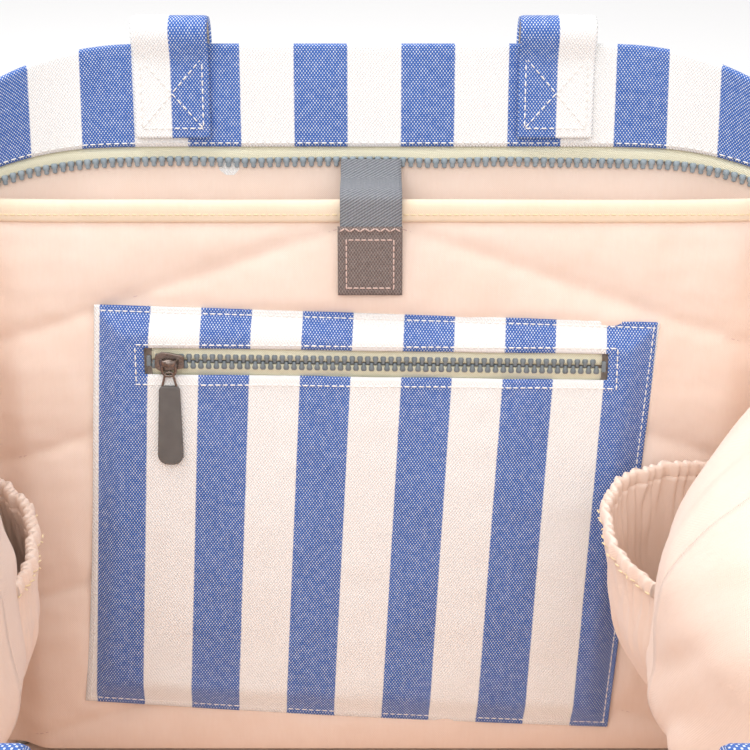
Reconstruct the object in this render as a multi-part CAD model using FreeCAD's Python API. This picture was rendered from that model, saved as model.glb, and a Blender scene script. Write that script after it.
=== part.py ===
"""Open zip-top tote bag of striped canvas, with its lining, laptop sleeve, pockets and moving trim.

Millimetres, +Z up, +Y towards the back wall.  The origin is the centre of the base, on the floor.
The bag stands open: the back wall leans back flat, the side walls fold inwards, the front slumps.
"""
import FreeCAD, Part
import math
import os

V = FreeCAD.Vector

# ---- driving dimensions: the body of the bag ------------------------------------------------
BASE_HALF_WIDTH = 185.0
BASE_HALF_DEPTH = 100.0
BASE_CORNER = 40.0
RIM_HALF_WIDTH = 190.0
RIM_HALF_DEPTH = 184.0
RIM_CORNER = 85.0
RIM_SHIFT = -2.5             # the mouth's centre stands this far forward of the base's
BACK_HEIGHT = 303.5
FRONT_HEIGHT = 258.0
SIDE_HEIGHT = 237.0
BACK_LEVEL_SHARE = 0.24      # share of the back rim, from its middle, that stays level
DROP_POWER = 5.0             # how late up the wall the rim's fall towards the sides shows
CORNER_POWER = 3.0           # how late up the wall the corners grow round
LEFT_FOLD = 56.0             # how far each side wall folds inwards
RIGHT_FOLD = 86.0
LEFT_FOLD_TOP = 0.72         # share of the height above which each fold dies out
RIGHT_FOLD_TOP = 0.5
SIDE_FOLD_REACH = 160.0      # distance from the side seam over which the fold dies out
SIDE_SAG = 0.8               # how much of the side wall's length is taken up low down by the fold
FRONT_BULGE = 22.0
WALL_LENGTH = 314.2          # cut height of the back wall, base to rim
WALL_LEAN = math.degrees(math.atan2(RIM_HALF_DEPTH + RIM_SHIFT - BASE_HALF_DEPTH, BACK_HEIGHT))

# ---- layers, measured inwards from the outer face of the canvas --------------------------------
CANVAS = (0.0, 1.6)
LINING = (2.0, 2.7)
FACING = (2.2, 3.6)
ZIP_TAPE = (3.0, 3.8)
ZIP_TEETH = (3.0, 5.6)
HANDLE_END = (3.9, 5.4)
SLEEVE = (16.0, 22.0)
BINDING = (15.6, 22.6)
LOOP_PATCH = (22.4, 23.6)
POCKET = (26.3, 27.6)
POCKET_CHAIN = 25.75         # middle of the pocket zip's thickness

# ---- heights up the wall, as shares of its cut height ------------------------------------------
WALL_START = 0.008
TEETH_SPAN = (0.8375, 0.849)
TAPE_SPAN = (0.85, 0.8695)
FACING_START = 0.8735
LINING_STEPS = (WALL_START, 0.024, 0.1, 0.2, 0.3, 0.4, 0.5, 0.6, 0.68, 0.74, 0.79, 0.8375, 0.849, 0.85, 0.8695)
FACING_STEPS = (FACING_START, 0.895, 0.92, 0.945, 0.97, 1.0)
AROUND_STEPS = (0.0, 0.15, 0.3, 0.38, 0.46, 0.54, 0.62, 0.69, 0.75, 0.81, 0.86, 0.9, 0.94, 0.97, 0.9985)
SEAM_ALLOWANCE = 0.994       # where the inner layers end, short of the side seams

# ---- base ------------------------------------------------------------------------------------
BASE_CANVAS = (0.0, 1.6)
BASE_BOARD = (2.4, 5.4)
BASE_LINING = (6.0, 7.0)
BOARD_INSET = 6.0

# ---- laptop sleeve, its strap and the patch pocket, in the plane of the back wall --------------
SLEEVE_HALF_WIDTH = 150.0
SLEEVE_BOTTOM = 9.0
BINDING_BOTTOM = 245.0
BINDING_TOP = 254.6
STRAP_HINGE_UP = 259.5
STRAP_HINGE_IN = 7.5
STRAP_ROLL = 1.2
STRAP_WIDTH = 25.0
STRAP_THICK = 1.4
STRAP_FACE = 24.3            # underside of the strap where it lies on the sleeve
STRAP_BEND_UP = 257.4
TAB_TOP = 243.5
TAB_BOTTOM = 216.0
TAB_THICK = 2.2
POCKET_WIDTH = 232.0
POCKET_HEIGHT = 178.0
POCKET_CENTRE = (-5.7, 117.8)
POCKET_TILT = -3.0           # degrees, clockwise when looked at from inside the bag
POCKET_ZIP_CENTRE = (0.5, 187.4)
POCKET_ZIP_TILT = -0.8
POCKET_ZIP_LENGTH = 191.0
POCKET_WINDOW = 11.0
POCKET_SLIDER_START = -85.0

# ---- zip chain, sliders and pulls ----------------------------------------------------------------
CHAIN_GAP = 0.8              # half of the gap that a slider's post runs in
TOOTH_ROW = 1.6
CHAIN_HALF_THICK = 1.15
TAPE_HALF_THICK = 0.35
SLIDER_HALF_LENGTH = 6.0
SLIDER_HALF_WIDTH = 3.7
SLIDER_INNER = 1.45
SLIDER_OUTER = 2.65
PIN_LEVEL = 4.65
PIN_RADIUS = 0.6
BARREL_INNER = 0.95
BARREL_OUTER = 1.5
PULL_TAB_HALF_WIDTH = 5.2
PULL_TAB_END = 43.5
TAIL_SLIDER_START = -4.0

# ---- side pockets --------------------------------------------------------------------------------
SIDE_POCKET_AROUND = (0.655, 0.93)
SIDE_POCKET_UP = (0.08, 0.42)
SIDE_POCKET_BULGE = {-1: 12.0, 1: 37.0}    # the right one stands open and the left one lies slack
SIDE_POCKET_THICK = 1.5
ELASTIC_BAND = (0.424, 0.45)

# ---- carrying handles ----------------------------------------------------------------------------
HANDLE_WIDTH = 32.0
HANDLE_THICK = 3.0
HANDLE_X = {"back": (-83.0, 74.0), "front": (-78.0, 78.0)}
HANDLE_END_SPAN = (0.88, 0.99)
HANDLE_END_HALF_WIDTH = 15.0
ROLL_RADIUS = 5.2
ROLL_ABOVE_RIM = 7.2
HANDLE_STRAIGHT = 130.0
HANDLE_BOW = 100.0


# ---- the bag's surface -----------------------------------------------------------------------------
def smooth(value):
    """Ease from 0 to 1 with level ends."""
    value = min(max(value, 0.0), 1.0)
    return value * value * (3.0 - 2.0 * value)


def smoother(value):
    """Ease from 0 to 1 with level and uncurved ends."""
    value = min(max(value, 0.0), 1.0)
    return value ** 3 * (10.0 - 15.0 * value + 6.0 * value * value)


def quarter_ring(up):
    """Half-width, half-depth, corner radius and quarter length of the ring at a share of the height."""
    width = BASE_HALF_WIDTH + (RIM_HALF_WIDTH - BASE_HALF_WIDTH) * up
    depth = BASE_HALF_DEPTH + (RIM_HALF_DEPTH - BASE_HALF_DEPTH) * up
    corner = BASE_CORNER + (RIM_CORNER - BASE_CORNER) * max(up, 0.0) ** CORNER_POWER
    length = (width - corner) + 0.5 * math.pi * corner + (depth - corner)
    return width, depth, corner, length


def rim_drop(panel, around):
    """The panel's full height, and how far its rim has fallen here: level at the back, low at the side seams."""
    if panel == "back":
        fall = smoother((abs(around) - BACK_LEVEL_SHARE) / (1.0 - BACK_LEVEL_SHARE))
        return BACK_HEIGHT, (BACK_HEIGHT - SIDE_HEIGHT) * fall
    return FRONT_HEIGHT, (FRONT_HEIGHT - SIDE_HEIGHT) * smoother(abs(around))


def surface(panel, around, up):
    """A point on the canvas's outer face.

    It lies on a rounded rectangle that grows from the base to the mouth.  Near a side seam it moves
    inwards by the side fold, which rises over the lower wall and dies out just below the mouth.
    around runs from -1 to 1 between the side seams, through the middle of the panel.
    """
    width, depth, corner, length = quarter_ring(up)
    along = abs(around) * length
    if along <= width - corner:
        x, y, nx, ny = along, depth, 0.0, 1.0
    elif along <= width - corner + 0.5 * math.pi * corner:
        turn = (along - (width - corner)) / corner
        nx, ny = math.sin(turn), math.cos(turn)
        x, y = width - corner + corner * nx, depth - corner + corner * ny
    else:
        x, y, nx, ny = width, length - along, 1.0, 0.0
    to_seam = min((length - along) / SIDE_FOLD_REACH, 1.0)
    fold = math.cos(0.5 * math.pi * to_seam) ** 2
    deep, top = (LEFT_FOLD, LEFT_FOLD_TOP) if around < 0 else (RIGHT_FOLD, RIGHT_FOLD_TOP)
    bow = deep * fold * smooth(up / 0.35) * (1.0 - smooth((up - top) / (1.0 - top)))
    x -= nx * bow
    y -= ny * bow
    height, drop = rim_drop(panel, around)
    late = 1.0 + DROP_POWER * (1.0 - fold) ** 2
    z = height * up - drop * max(up, 0.0) ** late + (height - drop) * SIDE_SAG * fold * up * (1.0 - up)
    if panel == "front":
        y += FRONT_BULGE * math.sin(math.pi * up) * (1.0 - around * around) ** 2
    shift = RIM_SHIFT * up
    return V(math.copysign(x, around), shift + (y if panel == "back" else -y), z)


def skin(panel, around, up, depth):
    """The point that lies depth inwards from the canvas's outer face."""
    step = 0.004
    across = surface(panel, around + step, up) - surface(panel, around - step, up)
    rise = surface(panel, around, min(up + step, 1.0)) - surface(panel, around, up - step)
    normal = across.cross(rise)
    normal.normalize()
    inward = 1.0 if panel == "back" else -1.0
    return surface(panel, around, up) + normal * (depth * inward)


def around_at(x, up):
    """The share around the panel at which the wall's straight stretch has this x."""
    return x / quarter_ring(up)[3]


# ---- solids ------------------------------------------------------------------------------------------
def slab(outer, inner):
    """A closed flat-faced solid between two grids of points of the same shape."""
    rows, columns = len(outer), len(outer[0])
    points = [point for grid in (outer, inner) for row in grid for point in row]
    half = rows * columns

    def index(row, column):
        return row * columns + column

    facets = []
    for row in range(rows - 1):
        for column in range(columns - 1):
            a, b = index(row, column), index(row, column + 1)
            c, d = index(row + 1, column + 1), index(row + 1, column)
            facets += [(a, b, c), (a, c, d), (half + a, half + c, half + b), (half + a, half + d, half + c)]
    edge = [index(0, column) for column in range(columns)]
    edge += [index(row, columns - 1) for row in range(1, rows)]
    edge += [index(rows - 1, column) for column in range(columns - 2, -1, -1)]
    edge += [index(row, 0) for row in range(rows - 2, 0, -1)]
    for a, b in zip(edge, edge[1:] + edge[:1]):
        facets += [(a, half + b, b), (a, half + a, half + b)]
    shell = Part.Shape()
    shell.makeShapeFromMesh((points, facets), 0.001)
    solid = Part.makeSolid(shell)
    if solid.Volume < 0.0:
        solid.reverse()
    return solid.removeSplitter()


def band(panel, around_steps, up_steps, layer):
    """Part of a wall: the stretch between two depths, over the given steps around and up."""
    grids = [[[skin(panel, around, up, depth) for around in around_steps] for up in up_steps]
             for depth in layer]
    return slab(*grids)


def full_width():
    """The steps around a whole panel, from seam to seam."""
    return [-share for share in reversed(AROUND_STEPS[1:])] + list(AROUND_STEPS)


def oriented(solid):
    """The same solid with its volume positive."""
    if solid.Volume < 0.0:
        solid.reverse()
    return solid


def base_plate(levels, inset):
    """A flat plate with the outline of the base, drawn in by inset."""
    corner = BASE_CORNER - inset
    width, depth = BASE_HALF_WIDTH - inset, BASE_HALF_DEPTH - inset
    outline = []
    for quarter in range(4):
        sign_x = 1.0 if quarter in (0, 3) else -1.0
        sign_y = 1.0 if quarter < 2 else -1.0
        for step in range(7):
            turn = math.radians(90.0 * quarter + 15.0 * step)
            outline.append(V(sign_x * (width - corner) + corner * math.cos(turn),
                             sign_y * (depth - corner) + corner * math.sin(turn), levels[0]))
    face = Part.Face(Part.makePolygon(outline + outline[:1]))
    return oriented(face.extrude(V(0, 0, levels[1] - levels[0])))


def frame(origin, first, second, third):
    """A placement that sends the three local axes to the given directions at origin."""
    matrix = FreeCAD.Matrix(first.x, second.x, third.x, origin.x,
                            first.y, second.y, third.y, origin.y,
                            first.z, second.z, third.z, origin.z, 0, 0, 0, 1)
    return FreeCAD.Placement(matrix)


def turned(x, y, level, degrees):
    """A placement at x, y, level, turned about the local third axis."""
    return FreeCAD.Placement(V(x, y, level), FreeCAD.Rotation(V(0, 0, 1), degrees))


def block(low, high):
    """A box between two corners."""
    size = [high[axis] - low[axis] for axis in range(3)]
    return Part.makeBox(size[0], size[1], size[2], V(*low))


def put(shape, placement):
    """A copy of the shape, moved to a placement."""
    copy = shape.copy()
    copy.Placement = placement.multiply(copy.Placement)
    return copy


LEAN = math.radians(WALL_LEAN)
BACK_WALL = frame(V(0, BASE_HALF_DEPTH, 0), V(1, 0, 0), V(0, math.sin(LEAN), math.cos(LEAN)),
                  V(0, -math.cos(LEAN), math.sin(LEAN)))
POCKET_ZIP = BACK_WALL.multiply(turned(POCKET_ZIP_CENTRE[0], POCKET_ZIP_CENTRE[1], POCKET_CHAIN,
                                       POCKET_ZIP_TILT))


def tail_frame():
    """The frame of the main zip's tail, which lies on the folded side wall and over the left rim.

    Its first axis runs inwards along the tail, its third stands up from it, and it starts at the rim.
    """
    rim = surface("back", -1.0, 1.0)
    low = surface("back", -1.0, FACING_START)
    first = V(low.x - rim.x, 0, low.z - rim.z)
    first.normalize()
    second = V(0, 1, 0)
    third = first.cross(second)
    return frame(rim + third * 8.3, first, second, third)


TAIL_ZIP = tail_frame()


# ---- sub-parts -----------------------------------------------------------------------------------------
def walls():
    """The canvas shell, the lining, the facing and the main zip's two open halves."""
    parts = {}
    every_step = LINING_STEPS + FACING_STEPS
    for panel in ("back", "front"):
        across = full_width()
        inside = [-SEAM_ALLOWANCE] + across[1:-1] + [SEAM_ALLOWANCE]
        parts[panel + "_shell_panel"] = band(panel, across, every_step, CANVAS)
        parts[panel + "_lining"] = band(panel, inside, LINING_STEPS[1:], LINING)
        parts[panel + "_facing"] = band(panel, inside, FACING_STEPS, FACING)
        parts["zip_tape_" + panel] = band(panel, inside, TAPE_SPAN, ZIP_TAPE)
        parts["zip_teeth_" + panel] = band(panel, inside, TEETH_SPAN, ZIP_TEETH)
    parts["base_shell_panel"] = base_plate(BASE_CANVAS, 0.0)
    parts["base_board"] = base_plate(BASE_BOARD, BOARD_INSET)
    parts["base_lining"] = base_plate(BASE_LINING, BOARD_INSET)
    return parts


def chain(length_from, length_to, tape_reach):
    """Two rows of teeth with a gap for the post, and the tape on each side of them."""
    inner, outer = CHAIN_GAP, CHAIN_GAP + TOOTH_ROW
    rows, tapes = [], []
    for side in (-1, 1):
        near, far = sorted((side * inner, side * outer))
        rows.append(block((length_from, near, -CHAIN_HALF_THICK), (length_to, far, CHAIN_HALF_THICK)))
        near, far = sorted((side * (outer + 0.3), side * tape_reach))
        tapes.append(block((length_from, near, -TAPE_HALF_THICK), (length_to, far, TAPE_HALF_THICK)))
    return rows, tapes


def slider_plates():
    """The slider's two plates with their guide flanges, joined by the post at its wide end."""
    length, width = SLIDER_HALF_LENGTH, SLIDER_HALF_WIDTH
    body = block((4.2, -0.5, -SLIDER_OUTER), (length - 0.4, 0.5, SLIDER_OUTER))
    for side in (-1, 1):
        near, far = sorted((side * SLIDER_INNER, side * SLIDER_OUTER))
        plan = [V(-length, -width + 0.9, near), V(length, -width, near), V(length, width, near),
                V(-length, width - 0.9, near)]
        plate = Part.Face(Part.makePolygon(plan + plan[:1])).extrude(V(0, 0, far - near))
        body = body.fuse(oriented(plate))
        for edge in (-1, 1):
            low, high = sorted((side * 0.7, side * (SLIDER_INNER + 0.1)))
            near, far = sorted((edge * 2.75, edge * (width - 0.05)))
            body = body.fuse(block((0.5, near, low), (length, far, high)))
    return body.removeSplitter()


def lug():
    """Two ears on the slider's top plate, with the pin that the pull's ring turns on."""
    ears = [block((side * 3.0 - 0.4, -1.3, SLIDER_OUTER - 0.1), (side * 3.0 + 0.4, 1.3, PIN_LEVEL + 1.0))
            for side in (-1, 1)]
    pin = Part.makeCylinder(PIN_RADIUS, 6.0, V(-3.0, 0, PIN_LEVEL), V(1, 0, 0))
    return ears[0].fuse(ears[1]).fuse(pin)


def ring_frame(top, bottom, half_top, half_bottom, wire, levels):
    """A flat four-sided ring of wire, wider at its lower end."""
    outer = [V(-half_top, top, levels[0]), V(half_top, top, levels[0]),
             V(half_bottom, bottom, levels[0]), V(-half_bottom, bottom, levels[0])]
    inner = [V(-half_top + wire, top - wire, levels[0]), V(half_top - wire, top - wire, levels[0]),
             V(half_bottom - wire, bottom + wire, levels[0]), V(-half_bottom + wire, bottom + wire, levels[0])]
    rise = V(0, 0, levels[1] - levels[0])
    solids = [oriented(Part.Face(Part.makePolygon(plan + plan[:1])).extrude(rise)) for plan in (outer, inner)]
    return solids[0].cut(solids[1])


def pull_ring():
    """The barrel on the lug's pin and the ring below it."""
    barrel = Part.makeCylinder(BARREL_OUTER, 4.6, V(-2.3, 0, PIN_LEVEL), V(1, 0, 0))
    ring = ring_frame(-1.0, -5.6, 2.3, 2.3, 0.9, (PIN_LEVEL - 0.6, PIN_LEVEL + 0.6))
    hole = Part.makeCylinder(BARREL_INNER, 6.0, V(-3.0, 0, PIN_LEVEL), V(1, 0, 0))
    return barrel.fuse(ring).cut(hole)


def pull_link():
    """The flat four-sided link between the ring and the tab."""
    return ring_frame(-3.6, -9.9, 2.8, 3.9, 0.9, (PIN_LEVEL - 1.6, PIN_LEVEL - 0.9))


def pull_tab():
    """A soft moulded tab with square shoulders and a rounded end."""
    half, top, end, low = PULL_TAB_HALF_WIDTH, -10.2, -PULL_TAB_END, PIN_LEVEL - 2.3
    curve = 4.0
    diagonal = curve * math.sqrt(0.5)
    corner_right, corner_left = V(half - curve, end + curve, low), V(-half + curve, end + curve, low)
    edges = [Part.LineSegment(V(-half, end + curve, low), V(-half, top, low)).toShape(),
             Part.LineSegment(V(-half, top, low), V(half, top, low)).toShape(),
             Part.LineSegment(V(half, top, low), V(half, end + curve, low)).toShape(),
             Part.Arc(V(half, end + curve, low), corner_right + V(diagonal, -diagonal, 0),
                      V(half - curve, end, low)).toShape(),
             Part.LineSegment(V(half - curve, end, low), V(-half + curve, end, low)).toShape(),
             Part.Arc(V(-half + curve, end, low), corner_left + V(-diagonal, -diagonal, 0),
                      V(-half, end + curve, low)).toShape()]
    return oriented(Part.Face(Part.Wire(edges)).extrude(V(0, 0, 2.2)))


def slider_and_pull(names, zip_frame, start, pull_turn):
    """A slider at start along a zip, with its ring, link and tab, turned about the zip's normal."""
    here = zip_frame.multiply(turned(start, 0, 0, 0))
    pull = zip_frame.multiply(turned(start, 0, 0, pull_turn))
    slider = put(slider_plates(), here).fuse(put(lug(), pull))
    return {names[0]: slider, names[1]: put(pull_ring(), pull), names[2]: put(pull_link(), pull),
            names[3]: put(pull_tab(), pull)}


def zip_tail():
    """The main zip's closed tail beyond the left side seam, its end tab, slider and pull."""
    rows, tapes = chain(-13.7, 38.0, 14.0)
    parts = {"zip_tail_teeth": Part.makeCompound([put(row, TAIL_ZIP) for row in rows]),
             "zip_tail_tape": Part.makeCompound([put(tape, TAIL_ZIP) for tape in tapes]),
             "zip_tail_end": put(block((-26.0, -15.0, -1.6), (-14.0, 15.0, 1.6)), TAIL_ZIP)}
    names = ("main_slider", "main_pull_ring", "main_pull_link", "main_pull_tab")
    parts.update(slider_and_pull(names, TAIL_ZIP, TAIL_SLIDER_START, 90.0))
    return parts


def sleeve():
    """The padded laptop sleeve on the back wall, bound along its top, with its closing strap."""
    half = SLEEVE_HALF_WIDTH
    panel = block((-half, SLEEVE_BOTTOM, SLEEVE[0]), (half, BINDING_BOTTOM - 0.3, SLEEVE[1]))
    binding = block((-half, BINDING_BOTTOM, BINDING[0]), (half, BINDING_TOP, BINDING[1]))
    patch = block((-11.0, TAB_BOTTOM + 1.0, LOOP_PATCH[0]), (11.0, TAB_TOP - 1.5, LOOP_PATCH[1]))
    return {"laptop_sleeve": put(panel, BACK_WALL), "sleeve_binding": put(binding, BACK_WALL),
            "loop_patch": put(patch, BACK_WALL)}


def closing_strap():
    """The elastic from the zip's seam over the sleeve's edge, and the hook tab sewn to its end."""
    half, face, thick = 0.5 * STRAP_WIDTH, STRAP_FACE, STRAP_THICK
    upper = [(STRAP_HINGE_UP + 0.7, STRAP_HINGE_IN + STRAP_ROLL + 0.2), (STRAP_BEND_UP + 0.7, face + thick),
             (TAB_TOP + 0.3, face + thick)]
    lower = [(STRAP_HINGE_UP - 0.7, STRAP_HINGE_IN + STRAP_ROLL + 0.2), (STRAP_BEND_UP - 0.9, face),
             (TAB_TOP + 0.3, face)]
    outline = [V(-half, up, level) for up, level in upper + lower[::-1]]
    ribbon = oriented(Part.Face(Part.makePolygon(outline + outline[:1])).extrude(V(2 * half, 0, 0)))
    roll = Part.makeCylinder(STRAP_ROLL, 2 * half, V(-half, STRAP_HINGE_UP, STRAP_HINGE_IN), V(1, 0, 0))
    tab = block((-half - 0.8, TAB_BOTTOM, face), (half + 0.8, TAB_TOP, face + TAB_THICK))
    return {"strap_elastic": Part.makeCompound([put(roll, BACK_WALL), put(ribbon, BACK_WALL)]),
            "strap_hook_tab": put(tab, BACK_WALL)}


def patch_pocket():
    """The striped patch pocket on the sleeve, with its zip in a window below its top edge."""
    half_width, half_height = 0.5 * POCKET_WIDTH, 0.5 * POCKET_HEIGHT
    place = BACK_WALL.multiply(turned(POCKET_CENTRE[0], POCKET_CENTRE[1], 0, POCKET_TILT))
    plate = put(block((-half_width, -half_height, POCKET[0]), (half_width, half_height, POCKET[1])), place)
    half_zip, half_window = 0.5 * POCKET_ZIP_LENGTH, 0.5 * POCKET_WINDOW
    window = put(block((-half_zip, -half_window, -5.0), (half_zip, half_window, 5.0)), POCKET_ZIP)
    rows, tapes = chain(-half_zip + 3.0, half_zip - 3.0, half_window + 2.5)
    parts = {"patch_pocket": plate.cut(window)}
    for name, row, tape in zip(("lower", "upper"), rows, tapes):
        parts["pocket_teeth_" + name] = put(row, POCKET_ZIP)
        parts["pocket_zip_tape_" + name] = put(tape, POCKET_ZIP)
    stop_reach = CHAIN_GAP + TOOTH_ROW
    stops = [block((-half_zip + 0.3, -stop_reach, -1.0), (-half_zip + 2.7, stop_reach, 1.0)),
             block((half_zip - 2.7, -stop_reach, -1.0), (half_zip - 0.3, stop_reach, 1.0))]
    parts["pocket_zip_stops"] = Part.makeCompound([put(stop, POCKET_ZIP) for stop in stops])
    names = ("pocket_slider", "pocket_pull_ring", "pocket_pull_link", "pocket_pull_tab")
    parts.update(slider_and_pull(names, POCKET_ZIP, POCKET_SLIDER_START, 0.0))
    return parts


def side_pocket(side):
    """A gathered pocket on a side wall, open at its top, and the elastic band that draws it in.

    It stands off the lining by a half sine wave across and by the root of the height up.
    """
    first, last = SIDE_POCKET_AROUND
    low, high = SIDE_POCKET_UP

    def stand_off(around, up):
        across = math.sin(math.pi * (around - first) / (last - first))
        rise = math.sqrt(min(max((up - low) / (high - low), 0.0), 1.0))
        return 4.5 + SIDE_POCKET_BULGE[side] * across * rise

    def grid(up_steps, extra):
        shares = [first + (last - first) * step / 12.0 for step in range(13)]
        if side < 0:
            shares = shares[::-1]
        return [[skin("back", side * share, up, stand_off(share, up) + extra) for share in shares]
                for up in up_steps]

    body_steps = [low + (high - low) * (step / 7.0) ** 1.6 for step in range(8)]
    body = slab(grid(body_steps, 0.0), grid(body_steps, SIDE_POCKET_THICK))
    elastic = slab(grid(ELASTIC_BAND, -0.5), grid(ELASTIC_BAND, SIDE_POCKET_THICK + 1.0))
    return body, elastic


def handle_hinge(panel):
    """The line that a handle turns about: along X, just above the rim."""
    rim = 0.5 * (skin(panel, 0.0, 1.0, CANVAS[0]) + skin(panel, 0.0, 1.0, FACING[1]))
    return V(0, rim.y, rim.z + ROLL_ABOVE_RIM)


def handle(panel):
    """A strap that hangs outside the wall in a U, and the rolls at the rim that it turns on.

    The legs lie flat to the wall, and the strap turns a quarter on its way to the foot of the U.
    """
    left, right = HANDLE_X[panel]
    outward = 1.0 if panel == "back" else -1.0
    hinge = handle_hinge(panel)
    centre, half_span = 0.5 * (left + right), 0.5 * (right - left)
    plane = hinge.y + outward * (ROLL_RADIUS + 0.4 + 0.5 * HANDLE_THICK)
    sections = []
    for leg, steps in ((-1, 3), (1, 3)):
        line = [(V(leg * half_span, 0, -HANDLE_STRAIGHT * step / steps), V(0, 0, leg), 0.0)
                for step in range(steps)]
        sections += line if leg < 0 else line[::-1]
        if leg < 0:
            for step in range(17):
                turn = math.pi * step / 16.0
                point = V(-half_span * math.cos(turn), 0, -HANDLE_STRAIGHT - HANDLE_BOW * math.sin(turn))
                heading = V(half_span * math.sin(turn), 0, -HANDLE_BOW * math.cos(turn))
                heading.normalize()
                sections.append((point, heading, smooth(math.sin(turn))))
    rows = ([], [])
    for point, heading, twist in sections:
        sideways = V(-heading.z, 0, heading.x)
        angle = 0.5 * math.pi * twist
        wide = sideways * math.cos(angle) + V(0, 1, 0) * math.sin(angle)
        thick = heading.cross(wide) * (0.5 * HANDLE_THICK)
        middle = V(centre, plane, hinge.z) + point
        for row, sign in zip(rows, (-1, 1)):
            row.append([middle - wide * (0.5 * HANDLE_WIDTH) + thick * sign,
                        middle + wide * (0.5 * HANDLE_WIDTH) + thick * sign])
    strap = slab(*rows)
    rolls = [Part.makeCylinder(ROLL_RADIUS, HANDLE_WIDTH, V(x - 0.5 * HANDLE_WIDTH, hinge.y, hinge.z), V(1, 0, 0))
             for x in (left, right)]
    return Part.makeCompound([strap] + rolls)


def handle_end(panel, x):
    """The end of a handle, sewn flat on the facing inside the rim."""
    shares = [x - HANDLE_END_HALF_WIDTH, x, x + HANDLE_END_HALF_WIDTH]
    grids = [[[skin(panel, around_at(place, up), up, depth) for place in shares]
              for up in (HANDLE_END_SPAN[0], 0.895, 0.92, 0.945, 0.97, HANDLE_END_SPAN[1])] for depth in HANDLE_END]
    return slab(*grids)


def build():
    """Every sub-part, by name."""
    parts = walls()
    parts.update(sleeve())
    parts.update(closing_strap())
    parts.update(patch_pocket())
    parts.update(zip_tail())
    for name, side in (("left", -1), ("right", 1)):
        body, elastic = side_pocket(side)
        parts[name + "_side_pocket"] = body
        parts[name + "_pocket_elastic"] = elastic
    for panel in ("back", "front"):
        parts[panel + "_handle"] = handle(panel)
        for name, x in zip(("left", "right"), HANDLE_X[panel]):
            parts[panel + "_handle_end_" + name] = handle_end(panel, x)
    return parts


def main():
    os.makedirs("parts", exist_ok=True)
    parts = build()
    for name, shape in parts.items():
        shape.exportStep("parts/%s.step" % name)
        print("%-26s solids %d  faces %5d  valid %s  volume %10.1f" % (
            name, len(shape.Solids), len(shape.Faces), shape.isValid(), shape.Volume))
    for panel in ("back", "front"):
        print(panel, "handle hinge", handle_hinge(panel))
    print("strap hinge", BACK_WALL.multVec(V(0, STRAP_HINGE_UP, STRAP_HINGE_IN)))
    for name, zip_frame, start in (("pocket", POCKET_ZIP, POCKET_SLIDER_START), ("main", TAIL_ZIP, TAIL_SLIDER_START)):
        print(name, "pull pin", zip_frame.multVec(V(start, 0, PIN_LEVEL)), "along",
              zip_frame.Rotation.multVec(V(1, 0, 0)), "across", zip_frame.Rotation.multVec(V(0, 1, 0)))


main()
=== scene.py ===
"""Open zip-top tote of striped canvas: its cloth, quilting, zips, pockets, straps and stitching.

Metres, +Z up, +Y towards the back wall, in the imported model's own frame.
"""
import math

import bpy
import numpy as np
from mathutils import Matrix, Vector


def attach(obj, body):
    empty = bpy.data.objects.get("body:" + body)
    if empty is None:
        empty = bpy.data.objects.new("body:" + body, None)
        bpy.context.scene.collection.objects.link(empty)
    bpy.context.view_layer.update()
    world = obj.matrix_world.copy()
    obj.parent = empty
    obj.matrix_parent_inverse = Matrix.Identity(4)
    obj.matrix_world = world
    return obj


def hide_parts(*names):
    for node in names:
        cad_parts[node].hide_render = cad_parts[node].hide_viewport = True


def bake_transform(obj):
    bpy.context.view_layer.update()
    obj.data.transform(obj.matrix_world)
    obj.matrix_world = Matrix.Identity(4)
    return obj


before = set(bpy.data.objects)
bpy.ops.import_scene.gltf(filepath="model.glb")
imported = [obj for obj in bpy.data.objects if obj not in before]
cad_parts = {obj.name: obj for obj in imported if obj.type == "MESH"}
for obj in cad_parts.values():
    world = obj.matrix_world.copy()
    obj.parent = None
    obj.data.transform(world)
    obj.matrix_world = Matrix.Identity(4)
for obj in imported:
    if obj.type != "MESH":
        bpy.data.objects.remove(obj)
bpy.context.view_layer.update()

MM = 0.001

# ---- the bag's surface, as in the design -------------------------------------------------------
BASE_HALF_WIDTH, BASE_HALF_DEPTH, BASE_CORNER = 185 * MM, 100 * MM, 40 * MM
RIM_HALF_WIDTH, RIM_HALF_DEPTH, RIM_CORNER = 190 * MM, 184 * MM, 85 * MM
RIM_SHIFT = -2.5 * MM
BACK_HEIGHT, FRONT_HEIGHT, SIDE_HEIGHT = 303.5 * MM, 258 * MM, 237 * MM
BACK_LEVEL_SHARE = 0.24
DROP_POWER, CORNER_POWER = 5.0, 3.0
LEFT_FOLD_TOP, RIGHT_FOLD_TOP = 0.72, 0.5     # share of the height above which each side fold dies out
LEFT_FOLD, RIGHT_FOLD, SIDE_FOLD_REACH, SIDE_SAG = 56 * MM, 86 * MM, 160 * MM, 0.8
FRONT_BULGE = 22 * MM
WALL_LENGTH = 314.2 * MM                      # cut height of a wall, base to rim
WALL_LEAN = math.atan2(RIM_HALF_DEPTH + RIM_SHIFT - BASE_HALF_DEPTH, BACK_HEIGHT)

# ---- cloth and trim ---------------------------------------------------------------------------------
STRIPE = 22 * MM                  # width of one woven stripe
POCKET_STRIPE = 20.9 * MM         # the pocket's canvas is drawn in a little by its seams
FACING_LOW = 0.8735
TAPE_LOW, TAPE_HIGH = 0.8575, 0.891
LINING_LOW, LINING_HIGH = 0.022, 0.858
CUT_HALF = 0.33                   # half of the cloth's cut width round the mouth
CANVAS_THICK, COTTON_THICK = 1.3 * MM, 0.5 * MM
FACING_DEPTH, LINING_DEPTH, TAPE_DEPTH = 3.5 * MM, 1.9 * MM, 3.4 * MM
THREAD = 0.28 * MM

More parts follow.
